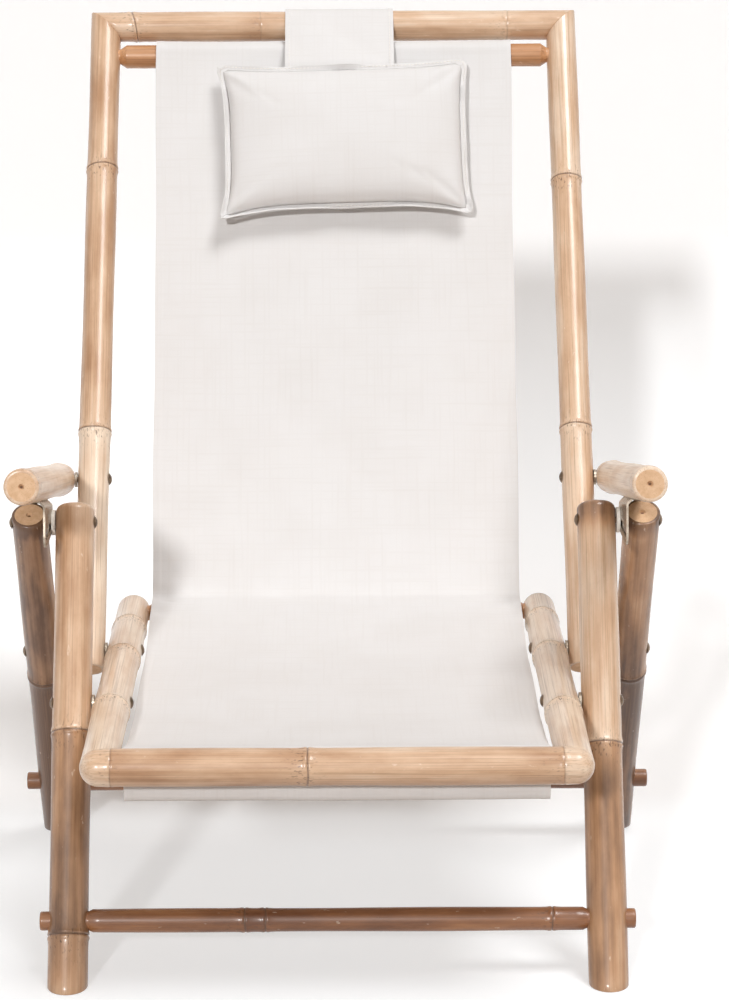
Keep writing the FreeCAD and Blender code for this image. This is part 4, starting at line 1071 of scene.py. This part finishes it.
def arc_points(centre: Sequence[float], start: Sequence[float], sweep: float,
               count: int = 24) -> Array:
    """Return points on an arc from start round centre by a signed angle."""
    offset = np.asarray(start, float) - np.asarray(centre, float)
    angles = np.linspace(0.0, sweep, count)
    turned = np.stack([offset[0] * np.cos(angles) - offset[1] * np.sin(angles),
                       offset[0] * np.sin(angles) + offset[1] * np.cos(angles)], -1)
    return np.asarray(centre, float) + turned


def tangent_from(point: Sequence[float], centre: Sequence[float], radius: float,
                 side: int) -> Array:
    """Return where a line from a point touches a circle on its left (1) or right."""
    away = np.asarray(centre, float) - np.asarray(point, float)
    distance = float(np.linalg.norm(away))
    swing = math.asin(radius / distance) * side
    heading = away / distance
    turned = np.array([heading[0] * math.cos(swing) - heading[1] * math.sin(swing),
                       heading[0] * math.sin(swing) + heading[1] * math.cos(swing)])
    return np.asarray(point, float) + turned * math.sqrt(distance ** 2 - radius ** 2)


def sling_line() -> tuple[Array, Array]:
    """Return where the sling creases over the rear bar and where it meets the top bar.

    The crease stands 10.4 mm behind the rear bar's middle and 1.6 mm above the
    cloth that lies on it.
    """
    crease = np.array([PLAN.rear_bar[0] + 10.4, PLAN.rear_bar[1] + SLING_WRAP + 1.6])
    return crease, tangent_from(crease, PLAN.top_bar, SLING_WRAP, 1)


@dataclass
class ClothStrip:
    """A strip of cloth along a side-view path, hemmed at both sides.

    At the distance u across and v along, the front face stands half a thickness
    plus hem(u) plus ripple(u, v) from the path, and the back face half a
    thickness behind it. The outline's four sides close the sheet.
    """

    name: str
    path: SheetPath
    half_width: float
    middle_x: float = 0.0
    thickness: float = 1.2
    hem_width: float = 9.0
    hem_step: float = 1.2
    hem_rise: float = 0.8
    ripple: Optional[Callable[[Array, Array], Array]] = None
    edge_wave: float = 0.6
    seed: int = 3
    step: float = 5.0

    def hem(self, u: Array) -> Array:
        """Return how far the hem's extra layer raises the cloth at u across."""
        return self.hem_rise * smooth(self.hem_width, self.hem_width - self.hem_step,
                                      self.half_width - np.abs(u))

    def build(self, canvas: Material) -> Piece:
        """Build the strip as a thin closed sheet with its flat cut as UV map."""
        rng = np.random.default_rng(self.seed)
        inner = np.linspace(-self.half_width + self.hem_width + 1.0,
                            self.half_width - self.hem_width - 1.0,
                            max(6, int(2 * self.half_width / self.step)))
        rim = np.array([0.0, 0.5, 2.5, 5.0, self.hem_width - self.hem_step, self.hem_width])
        across = np.concatenate([-self.half_width + rim, inner,
                                 (self.half_width - rim)[::-1]])
        along = self.path.lengths()
        normals = self.path.normals()
        u, v = np.meshgrid(across, along)
        hem = self.hem(u) - self.hem_rise * (
            1 - smooth(0.0, 1.0, self.half_width - np.abs(u))) * 0.6
        lift = self.ripple(u, v) if self.ripple else np.zeros_like(u)
        sway = self.edge_wave * (np.sin(v / 83.0 + rng.uniform(0, 6)) +
                                 0.6 * np.sin(v / 31.0 + rng.uniform(0, 6)))
        x = self.middle_x + u * (1.0 + sway / self.half_width)
        faces = []
        for offset in (self.thickness / 2.0 + hem, -self.thickness / 2.0 - 0.3 * hem):
            reach = offset + lift
            faces.append(np.stack([x, self.path.points[:, 0][:, None] + normals[:, :1] * reach,
                                   self.path.points[:, 1][:, None] + normals[:, 1:] * reach], -1))
        rows, columns = u.shape
        points = np.concatenate([face.reshape(-1, 3) for face in faces])
        front = grid_faces(rows, columns, False)
        size = rows * columns
        back = front[:, ::-1] + size
        loop = np.concatenate([np.arange(columns), np.arange(1, rows) * columns + columns - 1,
                               (rows - 1) * columns + np.arange(columns - 2, -1, -1),
                               np.arange(rows - 2, 0, -1) * columns])
        following = np.roll(loop, -1)
        walls = np.stack([following, loop, loop + size, following + size], -1)
        piece = make_piece(self.name, points, np.concatenate([front, back, walls]), [canvas],
                           sharp=50.0)
        flat = np.stack([u, v], -1).reshape(-1, 2)
        give_cloth_map(piece, np.concatenate([flat, flat]))
        return piece

    def spot(self, u: Array, v: Array) -> tuple[Array, Array]:
        """Return points on the front face, and the face's normals, at cut coordinates."""
        along = self.path.lengths()
        normals = self.path.normals()
        places = np.stack([np.interp(v, along, self.path.points[:, axis]) for axis in (0, 1)], -1)
        facing = np.stack([np.interp(v, along, normals[:, axis]) for axis in (0, 1)], -1)
        lift = self.ripple(u, v) if self.ripple else 0.0
        reach = (self.thickness / 2.0 + self.hem(u) + lift)[:, None]
        place = places + facing * reach
        points = np.stack([self.middle_x + u, place[:, 0], place[:, 1]], -1)
        return points, np.stack([np.zeros_like(u), facing[:, 0], facing[:, 1]], -1)

    def seam(self, u: Array, v: Array, stitch: tuple[float, float]
             ) -> tuple[Array, Array, Array]:
        """Return starts, ends and normals of stitches that run from u, v by a step."""
        first, facing = self.spot(u, v)
        last, _ = self.spot(u + stitch[0], v + stitch[1])
        return first, last, facing

    def edge_seams(self, inset: float, pitch: float, stitch: float
                   ) -> list[tuple[Array, Array, Array]]:
        """Return the stitches of the two side hems: inset from the edge, one per pitch."""
        along = np.arange(6.0, float(self.path.lengths()[-1]) - 6.0, pitch)
        return [self.seam(np.full_like(along, edge * (self.half_width - inset)), along,
                          (0.0, stitch)) for edge in (-1, 1)]


def stitches(name: str, seams: Sequence[tuple[Array, Array, Array]], thread: float,
             finish: Material) -> Piece:
    """Sew short threads between pairs of points as one mesh.

    Each stitch is a four-sided bar of four rings that dips into the cloth at
    both ends and stands a quarter of a thread proud between them.

    Args:
        name: Name of the piece.
        seams: Where each stitch goes in and comes out, and the cloth's normal
            there, for each row of stitches.
        thread: Thread thickness in millimetres.
        finish: The thread's material.

    Returns:
        The piece.
    """
    starts, ends, normals = (np.concatenate(one) for one in zip(*seams))
    along = ends - starts
    long = along / np.linalg.norm(along, axis=1)[:, None]
    side = np.cross(normals, long)
    rings = []
    for share, rise, width in ((0.0, -0.5, 0.35), (0.2, 0.25, 0.5), (0.8, 0.25, 0.5),
                               (1.0, -0.5, 0.35)):
        middle = starts + along * share + normals * (rise * thread)
        for turn in range(4):
            angle = math.pi / 4 + turn * math.pi / 2
            rings.append(middle + side * (math.cos(angle) * width * thread)
                         + normals * (math.sin(angle) * width * thread))
    points = np.stack(rings, 1)
    count = len(starts)
    base = np.arange(count)[:, None, None] * 16
    ring = np.arange(3)[None, :, None] * 4
    here = np.arange(4)[None, None, :]
    there = (here + 1) % 4
    sides = np.stack([base + ring + here, base + ring + there, base + ring + there + 4,
                      base + ring + here + 4], -1).reshape(-1, 4)
    caps = np.concatenate([base[:, 0] + np.array([[3, 2, 1, 0]]),
                           base[:, 0] + np.array([[12, 13, 14, 15]])])
    piece = make_piece(name, points.reshape(-1, 3), np.concatenate([sides, caps]), [finish],
                       sharp=80.0)
    give_cloth_map(piece, points.reshape(-1, 3)[:, :2])
    return piece


@dataclass
class Sling:
    """The canvas seat: sewn round the top bar, over the rear bar and the front bar."""

    finishes: Finishes
    half_width: float = 195.5
    cloth: float = 1.2
    sleeve_slack: float = 2.0
    sleeve_lap: float = 1.7
    hem_length: float = 34.0
    hang: float = 26.0
    fold: float = 8.5
    sag_radius: float = 320.0
    bend_length: float = 330.0
    stitch_pitch: float = 4.2
    stitch: float = 2.9
    total: float = 0.0
    crease_at: float = 0.0

    def route(self) -> tuple[SheetPath, Array, Array]:
        """Work out the side-view path and return it with the crease and the top touch."""
        crease, touch = sling_line()
        top = np.asarray(PLAN.top_bar)
        heading = unit(touch - crease)
        behind = np.array([heading[1], -heading[0]])
        hem_start = (touch + behind * self.sleeve_lap
                     - heading * (PLAN.bar_radius + self.hem_length))
        leave = touch + behind * self.sleeve_lap - heading * 9.0
        round_bar = arc_points(top, touch, -5.0, 40)
        slack = self.sleeve_slack * np.sin(np.linspace(0.0, math.pi, 40)) ** 0.4
        round_bar = (top + (round_bar - top) * (1.0 + slack / SLING_WRAP)[:, None])[::-1]
        run = [(PLAN.pivot[0] - 15.0, 234.0), (PLAN.seat_bolt[0] - 10.0, 227.0),
               (PLAN.front_bar[0] + 55.0, 231.0)]
        front_touch = tangent_from(run[-1], PLAN.front_bar, SLING_WRAP, -1)
        middle = SheetPath.through([tuple(touch), tuple(crease), *run, tuple(front_touch)],
                                   [9.0] + [self.sag_radius] * 3, 3.0).points
        offset = front_touch - np.asarray(PLAN.front_bar)
        over = arc_points(PLAN.front_bar, front_touch,
                          math.pi - math.atan2(offset[1], offset[0]), 14)
        low = over[-1] - np.array([0.0, self.hang])
        centre = low + np.array([self.fold, 0.0])
        under = arc_points(centre, low, math.radians(149.0), 20)
        rising = under[-1]
        radial = rising - centre
        up = np.array([-radial[1], radial[0]]) / self.fold
        seam = rising + up * (self.hang - 6.0)
        line = np.concatenate([[hem_start, leave], round_bar, middle, over, [low], under, [seam]])
        return SheetPath(SheetPath.even(line, 4.0)), crease, touch

    def ripple(self, u: Array, v: Array) -> Array:
        """Slack in the cloth: long soft waves, drawn lines at the crease and low folds."""
        crease_v = self.crease_at
        wide = 0.9 * np.sin(u / 61.0 + 1.1) * np.sin(v / 137.0 + 0.6)
        wide += 0.45 * np.sin(u / 23.0 + v / 90.0) * np.sin(v / 71.0)
        near = np.exp(-((v - crease_v - 26.0) / 42.0) ** 2)
        edge = smooth(120.0, 190.0, np.abs(u))
        drawn = 0.9 * near * edge * np.sin(v / 6.5 + np.abs(u) / 9.0)
        faint = 0.35 * near * np.sin(u / 14.0 + 2.0) * np.sin(v / 17.0)
        held = smooth(0.0, 90.0, v) * smooth(0.0, 60.0, self.total - v)
        return (wide + drawn + faint) * held

    def build(self) -> list[Piece]:
        """Build the sling, its rear loop and its stitching."""
        path, crease, touch = self.route()
        lengths = path.lengths()
        self.total = float(lengths[-1])
        from_crease = np.linalg.norm(path.points - crease, axis=1)
        from_crease[lengths < 200.0] = 1e9
        self.crease_at = float(lengths[int(np.argmin(from_crease))])
        strip = ClothStrip("canvas_sling", path, self.half_width, thickness=self.cloth,
                           ripple=self.ripple, step=6.0)
        piece = strip.build(self.finishes.canvas)
        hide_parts("sling")
        self.bend(piece, crease, touch)
        return [piece, self.rear_loop(), self.sew(strip, crease, touch)]

    def bend(self, piece: Piece, crease: Array, touch: Array) -> None:
        """Bake the piece's placement into its mesh."""
        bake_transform(piece)

    def rear_loop(self) -> Piece:
        """Build the band under the crease that holds the sling to the rear bar."""
        ring = arc_points(PLAN.rear_bar, (PLAN.rear_bar[0] + 13.6, PLAN.rear_bar[1]),
                          2.0 * math.pi * 0.985, 60)
        path = SheetPath(SheetPath.even(ring, 2.5))
        strip = ClothStrip("sling_rear_loop", path, self.half_width - 1.5, thickness=1.0,
                           hem_rise=0.3, edge_wave=0.0)
        piece = strip.build(self.finishes.canvas)
        float(path.lengths()[-1]) * MM
        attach(piece, Body.BASE.value)
        return piece

    def sew(self, strip: ClothStrip, crease: Array, touch: Array) -> Piece:
        """Build the stitch rows of the side hems and of the top and rear seams."""
        seams = strip.edge_seams(7.2, self.stitch_pitch, self.stitch)
        across = np.arange(-self.half_width + 4.0, self.half_width - 6.0, self.stitch_pitch)
        bar_turn = self.hem_length + PLAN.bar_radius + 5.0 * (PLAN.bar_radius + 1.1) + 26.0
        seams += [strip.seam(across, np.full_like(across, v), (self.stitch, 0.0))
                  for v in (bar_turn + 8.0, self.crease_at - 16.0)]
        piece = stitches("sling_stitching", seams, 0.7, self.finishes.thread)
        self.bend(piece, crease, touch)
        return piece


@dataclass
class HeadPillow:
    """Filled pillow with a narrow rolled flange round its seam, hung on a strap."""

    finishes: Finishes
    width: float = 282.0
    height: float = 184.0
    flange: float = 5.2
    corner_pull: float = 4.5
    draws: tuple[float, float, float, float] = (11.0, 7.0, 14.0, 6.0)
    front_crown: float = 33.0
    back_crown: float = 16.0
    top_drop: float = 16.0
    shift: float = 11.0
    tilt: float = 1.4
    spacing: float = 4.5
    longest_move: float = 24.0

    def place(self) -> Array:
        """Return the 4 x 4 matrix from the pillow's own frame to the chair's, in mm."""
        crease, touch = sling_line()
        heading = unit(touch - crease)
        normal = np.array([-heading[1], heading[0]])
        centre = touch - heading * (self.top_drop + self.height / 2.0) + normal * 18.9
        matrix = np.eye(4)
        turn = math.radians(self.tilt)
        right = np.array([1.0, 0.0, 0.0])
        up = np.array([0.0, heading[0], heading[1]])
        matrix[:3, 0] = right * math.cos(turn) + up * math.sin(turn)
        matrix[:3, 1] = up * math.cos(turn) - right * math.sin(turn)
        matrix[:3, 2] = (0.0, normal[0], normal[1])
        matrix[:3, 3] = (self.shift, centre[0], centre[1])
        return matrix

    def outline(self, s: Array, t: Array, inset: float) -> tuple[Array, Array]:
        """Place shares s, t in -1..1 on the panel, drawn in between the corners.

        The left, right, lower and upper side each bow inwards by their own draw x
        (1 - the other share to the fourth). Each corner is pulled in along its
        diagonal by a pull that fades as a bell curve 7 mm wide.
        """
        half_w = self.width / 2.0 - inset
        half_h = self.height / 2.0 - inset
        left, right, lower, upper = self.draws
        away = ((1.0 - np.abs(s)) * half_w) ** 2 + ((1.0 - np.abs(t)) * half_h) ** 2
        pull = self.corner_pull * np.exp(-away / 49.0)
        x = s * (half_w - np.where(s < 0, left, right) * (1.0 - t ** 4)) - np.sign(s) * pull
        y = t * (half_h - np.where(t < 0, lower, upper) * (1.0 - s ** 4)) - np.sign(t) * pull
        return x, y

    def build(self) -> list[Piece]:
        """Build the filled panels, the flange and the stitching round the seam."""
        matrix = self.place()
        pad = self.panels()
        self.inflate(pad)
        self.to_place(pad, matrix)
        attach(pad, Body.BACK.value)
        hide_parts("head_pillow")
        flange = self.border()
        self.to_place(flange, matrix)
        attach(flange, Body.BACK.value)
        seam = self.sew()
        self.to_place(seam, matrix)
        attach(seam, Body.BACK.value)
        return [pad, flange, seam]

    @staticmethod
    def to_place(piece: Piece, matrix: Array) -> None:
        """Move the piece's mesh to its place on the chair."""
        rows = matrix.copy()
        rows[:3, 3] *= MM
        piece.data.transform(Matrix(rows.tolist()))
        piece.data.update()

    def panels(self) -> Piece:
        """Build the front and back panels, sewn together at the seam.

        A panel stands crown x ((1 - s^4) x (1 - t^4)) to the power 0.5 from the seam,
        with short folds that fan out from each corner.
        """
        columns = int((self.width - 2 * self.flange) / self.spacing)
        rows = int((self.height - 2 * self.flange) / self.spacing)
        s, t = np.meshgrid(np.linspace(-1, 1, columns), np.linspace(-1, 1, rows))
        x, y = self.outline(s, t, self.flange)
        bulge = ((1 - s ** 4) * (1 - t ** 4)) ** 0.5
        corner = np.hypot(np.abs(x) - self.width / 2.0, np.abs(y) - self.height / 2.0)
        fan = np.arctan2(self.height / 2.0 - np.abs(y), self.width / 2.0 - np.abs(x))
        bulge = bulge + 0.05 * np.exp(-((corner - 30.0) / 16.0) ** 2) * np.sin(13.0 * fan + s)
        size = rows * columns
        front = np.stack([x, y, bulge * self.front_crown * 0.72], -1).reshape(-1, 3)
        back = np.stack([x, y, -bulge * self.back_crown * 0.8], -1).reshape(-1, 3)
        border = np.zeros((rows, columns), bool)
        border[[0, -1], :] = True
        border[:, [0, -1]] = True
        inner = ~border.ravel()
        renumber = np.arange(size)
        renumber[inner] = size + np.arange(inner.sum())
        faces = grid_faces(rows, columns, False)
        quads = np.concatenate([faces, renumber[faces][:, ::-1]])
        points = np.concatenate([front, back[inner]])
        piece = make_piece("head_pillow_pad", points, quads, [self.finishes.canvas],
                           sharp=180.0)
        flat = np.stack([x, y], -1).reshape(-1, 2)
        give_cloth_map(piece, np.concatenate([flat, flat[inner] + 400.0]))
        group = piece.vertex_groups.new(name="seam")
        group.add(np.flatnonzero(border.ravel()).tolist(), 1.0, "REPLACE")
        return piece

    def inflate(self, piece: Piece) -> None:
        """Fill the pillow: cloth held at the seam, blown up, then capped and smoothed."""
        self.blow_up(piece)
        finer = piece.modifiers.new("finer", "SUBSURF")
        finer.levels = 1
        finer.render_levels = 1

    def blow_up(self, piece: Piece) -> None:
        """Solve the cloth under pressure and keep its shape within the pillow's size."""
        mesh = piece.data
        before = self.corners(mesh)
        cloth = piece.modifiers.new("fill", "CLOTH")
        for key, setting in (
                ("quality", 6), ("mass", 0.25), ("tension_stiffness", 18.0),
                ("compression_stiffness", 14.0), ("shear_stiffness", 8.0),
                ("bending_stiffness", 0.35), ("vertex_group_mass", "seam"),
                ("use_pressure", True), ("uniform_pressure_force", 4.5),
                ("shrink_min", 0.0)):
            setattr(cloth.settings, key, setting)
        cloth.settings.effector_weights.gravity = 0.0
        cloth.collision_settings.use_collision = False
        scene = bpy.context.scene
        for step in range(1, 21):
            scene.frame_set(step)
        graph = bpy.context.evaluated_depsgraph_get()
        after = self.corners(piece.evaluated_get(graph).to_mesh())
        piece.evaluated_get(graph).to_mesh_clear()
        piece.modifiers.remove(cloth)
        scene.frame_set(1)
        move = after - before
        far = np.linalg.norm(move, axis=1)
        LOG.info("pillow cloth moved up to %.1f mm", far.max() / MM)
        move *= np.minimum(1.0, self.longest_move * MM / np.maximum(far, 1e-9))[:, None]
        after = before + move
        after[:, 2] = np.clip(after[:, 2], -(self.back_crown + 1.5) * MM,
                              (self.front_crown + 3.0) * MM)
        mesh.vertices.foreach_set("co", after.astype(np.float32).ravel())
        mesh.update()

    @staticmethod
    def corners(mesh: bpy.types.Mesh) -> Array:
        """Return the mesh's points, one per row, in metres."""
        places = np.empty(len(mesh.vertices) * 3, np.float32)
        mesh.vertices.foreach_get("co", places)
        return places.reshape(-1, 3).astype(float)

    def seam_loop(self, count: int, inset: float) -> Array:
        """Return points round the seam, counter-clockwise from the lower left corner."""
        share = np.linspace(-1, 1, count, endpoint=False)
        ones = np.ones_like(share)
        s = np.concatenate([share, ones, -share, -ones])
        t = np.concatenate([-ones, share, ones, -share])
        x, y = self.outline(s, t, inset)
        return np.stack([x, y], -1)

    def border(self) -> Piece:
        """Build the flange: two layers of canvas that stand out flat from the seam.

        It curls towards the front by curl x the square of the distance out, most
        at the lower left, with a slow wave round the seam that grows the same way.
        """
        count = 90
        insets = self.flange * np.array([1.15, 0.85, 0.6, 0.35, 0.12, 0.0])
        loops = np.stack([self.seam_loop(count, inset) for inset in insets])
        turn = np.linspace(0.0, 2 * math.pi, 4 * count, endpoint=False)
        out = (1.0 - insets / insets[0])[:, None]
        wave = out * (2.2 * np.sin(5 * turn + 0.8) + 1.7 * np.sin(11 * turn + 2.0)
                      + 1.0 * np.sin(23 * turn))[None, :]
        wave = wave + (2.8 + 2.8 * np.cos(turn))[None, :] * out ** 2 - 1.2 * out
        half = np.array([0.5, 0.8, 1.0, 1.3, 1.5, 0.6])[:, None]
        top = np.concatenate([loops, (wave + half)[:, :, None]], -1)
        bottom = np.concatenate([loops, (wave - half)[:, :, None]], -1)[::-1]
        rings = np.concatenate([top, bottom])
        rows, columns = len(rings), 4 * count
        quads = grid_faces(rows, columns, True)
        last = (rows - 1) * columns
        here = np.arange(columns)
        there = (here + 1) % columns
        closing = np.stack([last + here, last + there, there, here], -1)
        piece = make_piece("head_pillow_flange", rings.reshape(-1, 3),
                           np.concatenate([quads, closing])[:, ::-1], [self.finishes.canvas],
                           sharp=60.0)
        give_cloth_map(piece, rings.reshape(-1, 3)[:, :2])
        return piece

    def sew(self) -> Piece:
        """Build the row of stitches where the flange meets the filled part."""
        loop = self.seam_loop(70, self.flange - 2.4)
        points = np.column_stack([loop, np.full(len(loop), 1.2)])
        following = np.roll(points, -1, axis=0)
        ends = points + (following - points) * 0.68
        normals = np.tile(np.array([[0.0, 0.0, 1.0]]), (len(points), 1))
        return stitches("head_pillow_stitching", [(points, ends, normals)], 0.7,
                        self.finishes.thread)


@dataclass
class PillowStrap:
    """Flat strap from the pillow over the top rail to a free tail behind it."""

    finishes: Finishes
    pillow: HeadPillow
    half_width: float = 60.0
    cloth: float = 1.8
    tail: float = 130.0
    shift: float = 6.6
    seam_depth: float = 13.0
    seam_drop: float = 4.2

    def build(self) -> list[Piece]:
        """Build the strap and its edge stitching."""
        matrix = self.pillow.place()
        centre = matrix[1:3, 3]
        heading = unit(matrix[1:3, 1])
        normal = matrix[1:3, 2]
        rail = np.asarray(PLAN.top_rail)
        wrap = PLAN.rail_radius + PLAN.cloth_gap + 1.2
        rim = (centre + heading * (self.pillow.height / 2.0 - self.seam_depth)
               - normal * self.seam_drop)
        bend = rim + heading * self.seam_depth
        touch = tangent_from(bend, rail, wrap, 1)
        offset = touch - rail
        over = arc_points(rail, touch, -math.atan2(offset[1], offset[0]), 26)
        tail = over[-1] - np.array([0.0, self.tail])
        near = SheetPath.through([tuple(rim), tuple(bend), tuple(touch)], [4.0], 2.0).points
        path = SheetPath(SheetPath.even(np.concatenate([near, over, [tail]]), 3.0))
        total = float(path.lengths()[-1])

        def ripple(u: Array, v: Array) -> Array:
            """Drawn diagonal folds where the strap pulls, and a soft wave in the tail."""
            pull = np.exp(-((v - 40.0) / 26.0) ** 2)
            fold = 0.9 * pull * np.sin(u / 11.0 + v / 14.0 + 0.4)
            hang = 1.0 * smooth(total - 150.0, total, v) * np.sin(u / 19.0)
            return fold * smooth(0.0, 14.0, v) + np.abs(hang)

        strip = ClothStrip("pillow_strap_canvas", path, self.half_width, self.shift,
                           thickness=self.cloth, hem_width=6.0, hem_rise=0.4, ripple=ripple,
                           edge_wave=0.35, step=3.5, seed=9)
        piece = strip.build(self.finishes.canvas)
        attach(piece, Body.BACK.value)
        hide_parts("pillow_strap")
        sewn = stitches("pillow_strap_stitching", strip.edge_seams(4.6, 4.0, 2.8), 0.6,
                        self.finishes.thread)
        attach(sewn, Body.BACK.value)
        return [piece, sewn]


# ---------------------------------------------------------------- studio

@dataclass(frozen=True)
class Sun:
    """A wide soft light: the side it shines from, its strength and its width in degrees."""

    name: str
    towards: tuple[float, float, float]
    strength: float
    angle: float

    def hang(self) -> None:
        """Put the light into the scene."""
        lamp = bpy.data.lights.new(self.name, "SUN")
        lamp.energy = self.strength
        lamp.angle = math.radians(self.angle)
        light = bpy.data.objects.new(self.name, lamp)
        light.rotation_mode = "QUATERNION"
        light.rotation_quaternion = Vector(self.towards).to_track_quat("Z", "Y")
        bpy.context.scene.collection.objects.link(light)


@dataclass
class Studio:
    """Pale floor, soft light and the camera."""

    focal_px: float = 3250.0
    camera_y: float = -3.2259
    camera_z: float = 1.1475
    pitch: float = 13.23
    roll: float = -0.29
    middle_column: float = 335.7
    frame_width: int = 729
    frame_height: int = 1000
    sensor_mm: float = 36.0
    sweep_start: float = 1050.0
    sweep_radius: float = 450.0
    sweep_reach: float = 9000.0
    pale_from: float = 120.0
    pale_to: float = 240.0
    suns: tuple[Sun, ...] = (Sun("key_light", (0.32, -0.30, 0.90), 1.85, 22.0),
                             Sun("side_light", (-0.249, -1.0, 0.42), 1.45, 4.0))

    def build(self) -> None:
        """Build the floor, the lights, the world and the camera."""
        self.sweep()
        self.world()
        for sun in self.suns:
            sun.hang()
        self.camera()
        bpy.context.scene.view_settings.view_transform = "Standard"

    def sweep(self) -> None:
        """Build a paper sweep that runs level to behind the chair and turns up to upright.

        Its points carry the attribute behind, which rises from 0 under the chair
        to 1 at its back.
        """
        turn = np.linspace(0.0, math.pi / 2.0, 25)
        level = np.arange(self.pale_from, self.pale_to + 21.0, 20.0)
        line = np.concatenate([[[-self.sweep_reach, 0.0]], np.stack([level, 0.0 * level], -1),
                               np.stack([self.sweep_start + self.sweep_radius * np.sin(turn),
                                         self.sweep_radius * (1.0 - np.cos(turn))], -1),
                               [[self.sweep_start + self.sweep_radius, self.sweep_reach]]])
        points = np.concatenate([np.insert(line, 0, x, axis=1)
                                 for x in (-self.sweep_reach, self.sweep_reach)])
        quads = grid_faces(2, len(line), False)[:, ::-1]
        floor = make_piece("studio_sweep", points, quads, [self.paper()], sharp=180.0)
        give_attribute(floor, "behind",
                       np.tile(smooth(self.pale_from, self.pale_to, line[:, 0]), 2))

    def paper(self) -> Material:
        """Build paper that is near white to the camera and keeps the shadow.

        It bounces a darker, warmer light than it shows, and it is clear when it
        is seen from behind.
        """
        material = bpy.data.materials.new("studio_paper")
        material.use_nodes = True
        tree = material.node_tree
        tree.nodes.clear()
        bounced = result(tree, "ShaderNodeBsdfDiffuse", {"Color": (0.56, 0.5, 0.455, 1.0)})
        behind = stored(tree, "behind")
        white = result(tree, "ShaderNodeBsdfDiffuse", {
            "Color": blend_colours(tree, behind, (0.54, 0.555, 0.57, 1.0),
                                   (0.96, 0.98, 1.0, 1.0))})
        glow = result(tree, "ShaderNodeEmission", {
            "Color": (1, 1, 1, 1), "Strength": ramp(tree, behind, 0.0, 1.0, 0.52, 0.06)})
        both = result(tree, "ShaderNodeAddShader", {0: white, 1: glow})
        front = result(tree, "ShaderNodeMixShader", {0: self.seen(tree), 1: bounced, 2: both})
        back = result(tree, "ShaderNodeNewGeometry", output="Backfacing")
        clear = result(tree, "ShaderNodeBsdfTransparent")
        whole = result(tree, "ShaderNodeMixShader", {0: back, 1: front, 2: clear})
        add_node(tree, "ShaderNodeOutputMaterial", {"Surface": whole})
        return material

    def world(self) -> None:
        """Light the scene evenly, and show white to the camera."""
        world = bpy.data.worlds.new("studio_air")
        bpy.context.scene.world = world
        world.use_nodes = True
        tree = world.node_tree
        tree.nodes.clear()
        soft = result(tree, "ShaderNodeBackground",
                      {"Color": (1.0, 0.91, 0.84, 1.0), "Strength": 0.25})
        white = result(tree, "ShaderNodeBackground", {"Color": (1, 1, 1, 1), "Strength": 1.0})
        shown = result(tree, "ShaderNodeMixShader", {0: self.seen(tree), 1: soft, 2: white})
        add_node(tree, "ShaderNodeOutputWorld", {"Surface": shown})

    @staticmethod
    def seen(tree: Tree) -> Socket:
        """Return 1 for what the camera sees straight, in a reflection or through glass."""
        ray = add_node(tree, "ShaderNodeLightPath").outputs
        share = ray["Is Camera Ray"]
        for name in ("Is Glossy Ray", "Is Transmission Ray"):
            share = calculate(tree, "MAXIMUM", share, ray[name])
        return share

    def camera(self) -> None:
        """Set the camera at the photograph's height, tilt and focal length."""
        lens = bpy.data.cameras.new("camera")
        lens.sensor_width = self.sensor_mm
        lens.lens = self.focal_px * self.sensor_mm / self.frame_height
        lens.shift_x = (self.frame_width / 2.0 - self.middle_column) / self.frame_height
        eye = bpy.data.objects.new("camera", lens)
        eye.location = (0.0, self.camera_y, self.camera_z)
        eye.rotation_euler = (Matrix.Rotation(math.radians(90.0 - self.pitch), 3, "X")
                              @ Matrix.Rotation(math.radians(self.roll), 3, "Z")).to_euler()
        bpy.context.scene.collection.objects.link(eye)
        bpy.context.scene.camera = eye


def main() -> None:
    """Build the chair in order and report each piece."""
    logging.basicConfig(level=logging.INFO, format="%(message)s")
    finishes = Finishes()
    pillow = HeadPillow(finishes)
    builders = (BaseFrame(finishes), BackFrame(finishes), Armrests(finishes), Sling(finishes),
                pillow, PillowStrap(finishes, pillow))
    for builder in builders:
        for piece in builder.build():
            LOG.info("%s: %d faces", piece.name, len(piece.data.polygons))
    LOG.info("hardware: %d groups dressed", Hardware(finishes).dress())
    Studio().build()


if __name__ == "__main__":
    main()
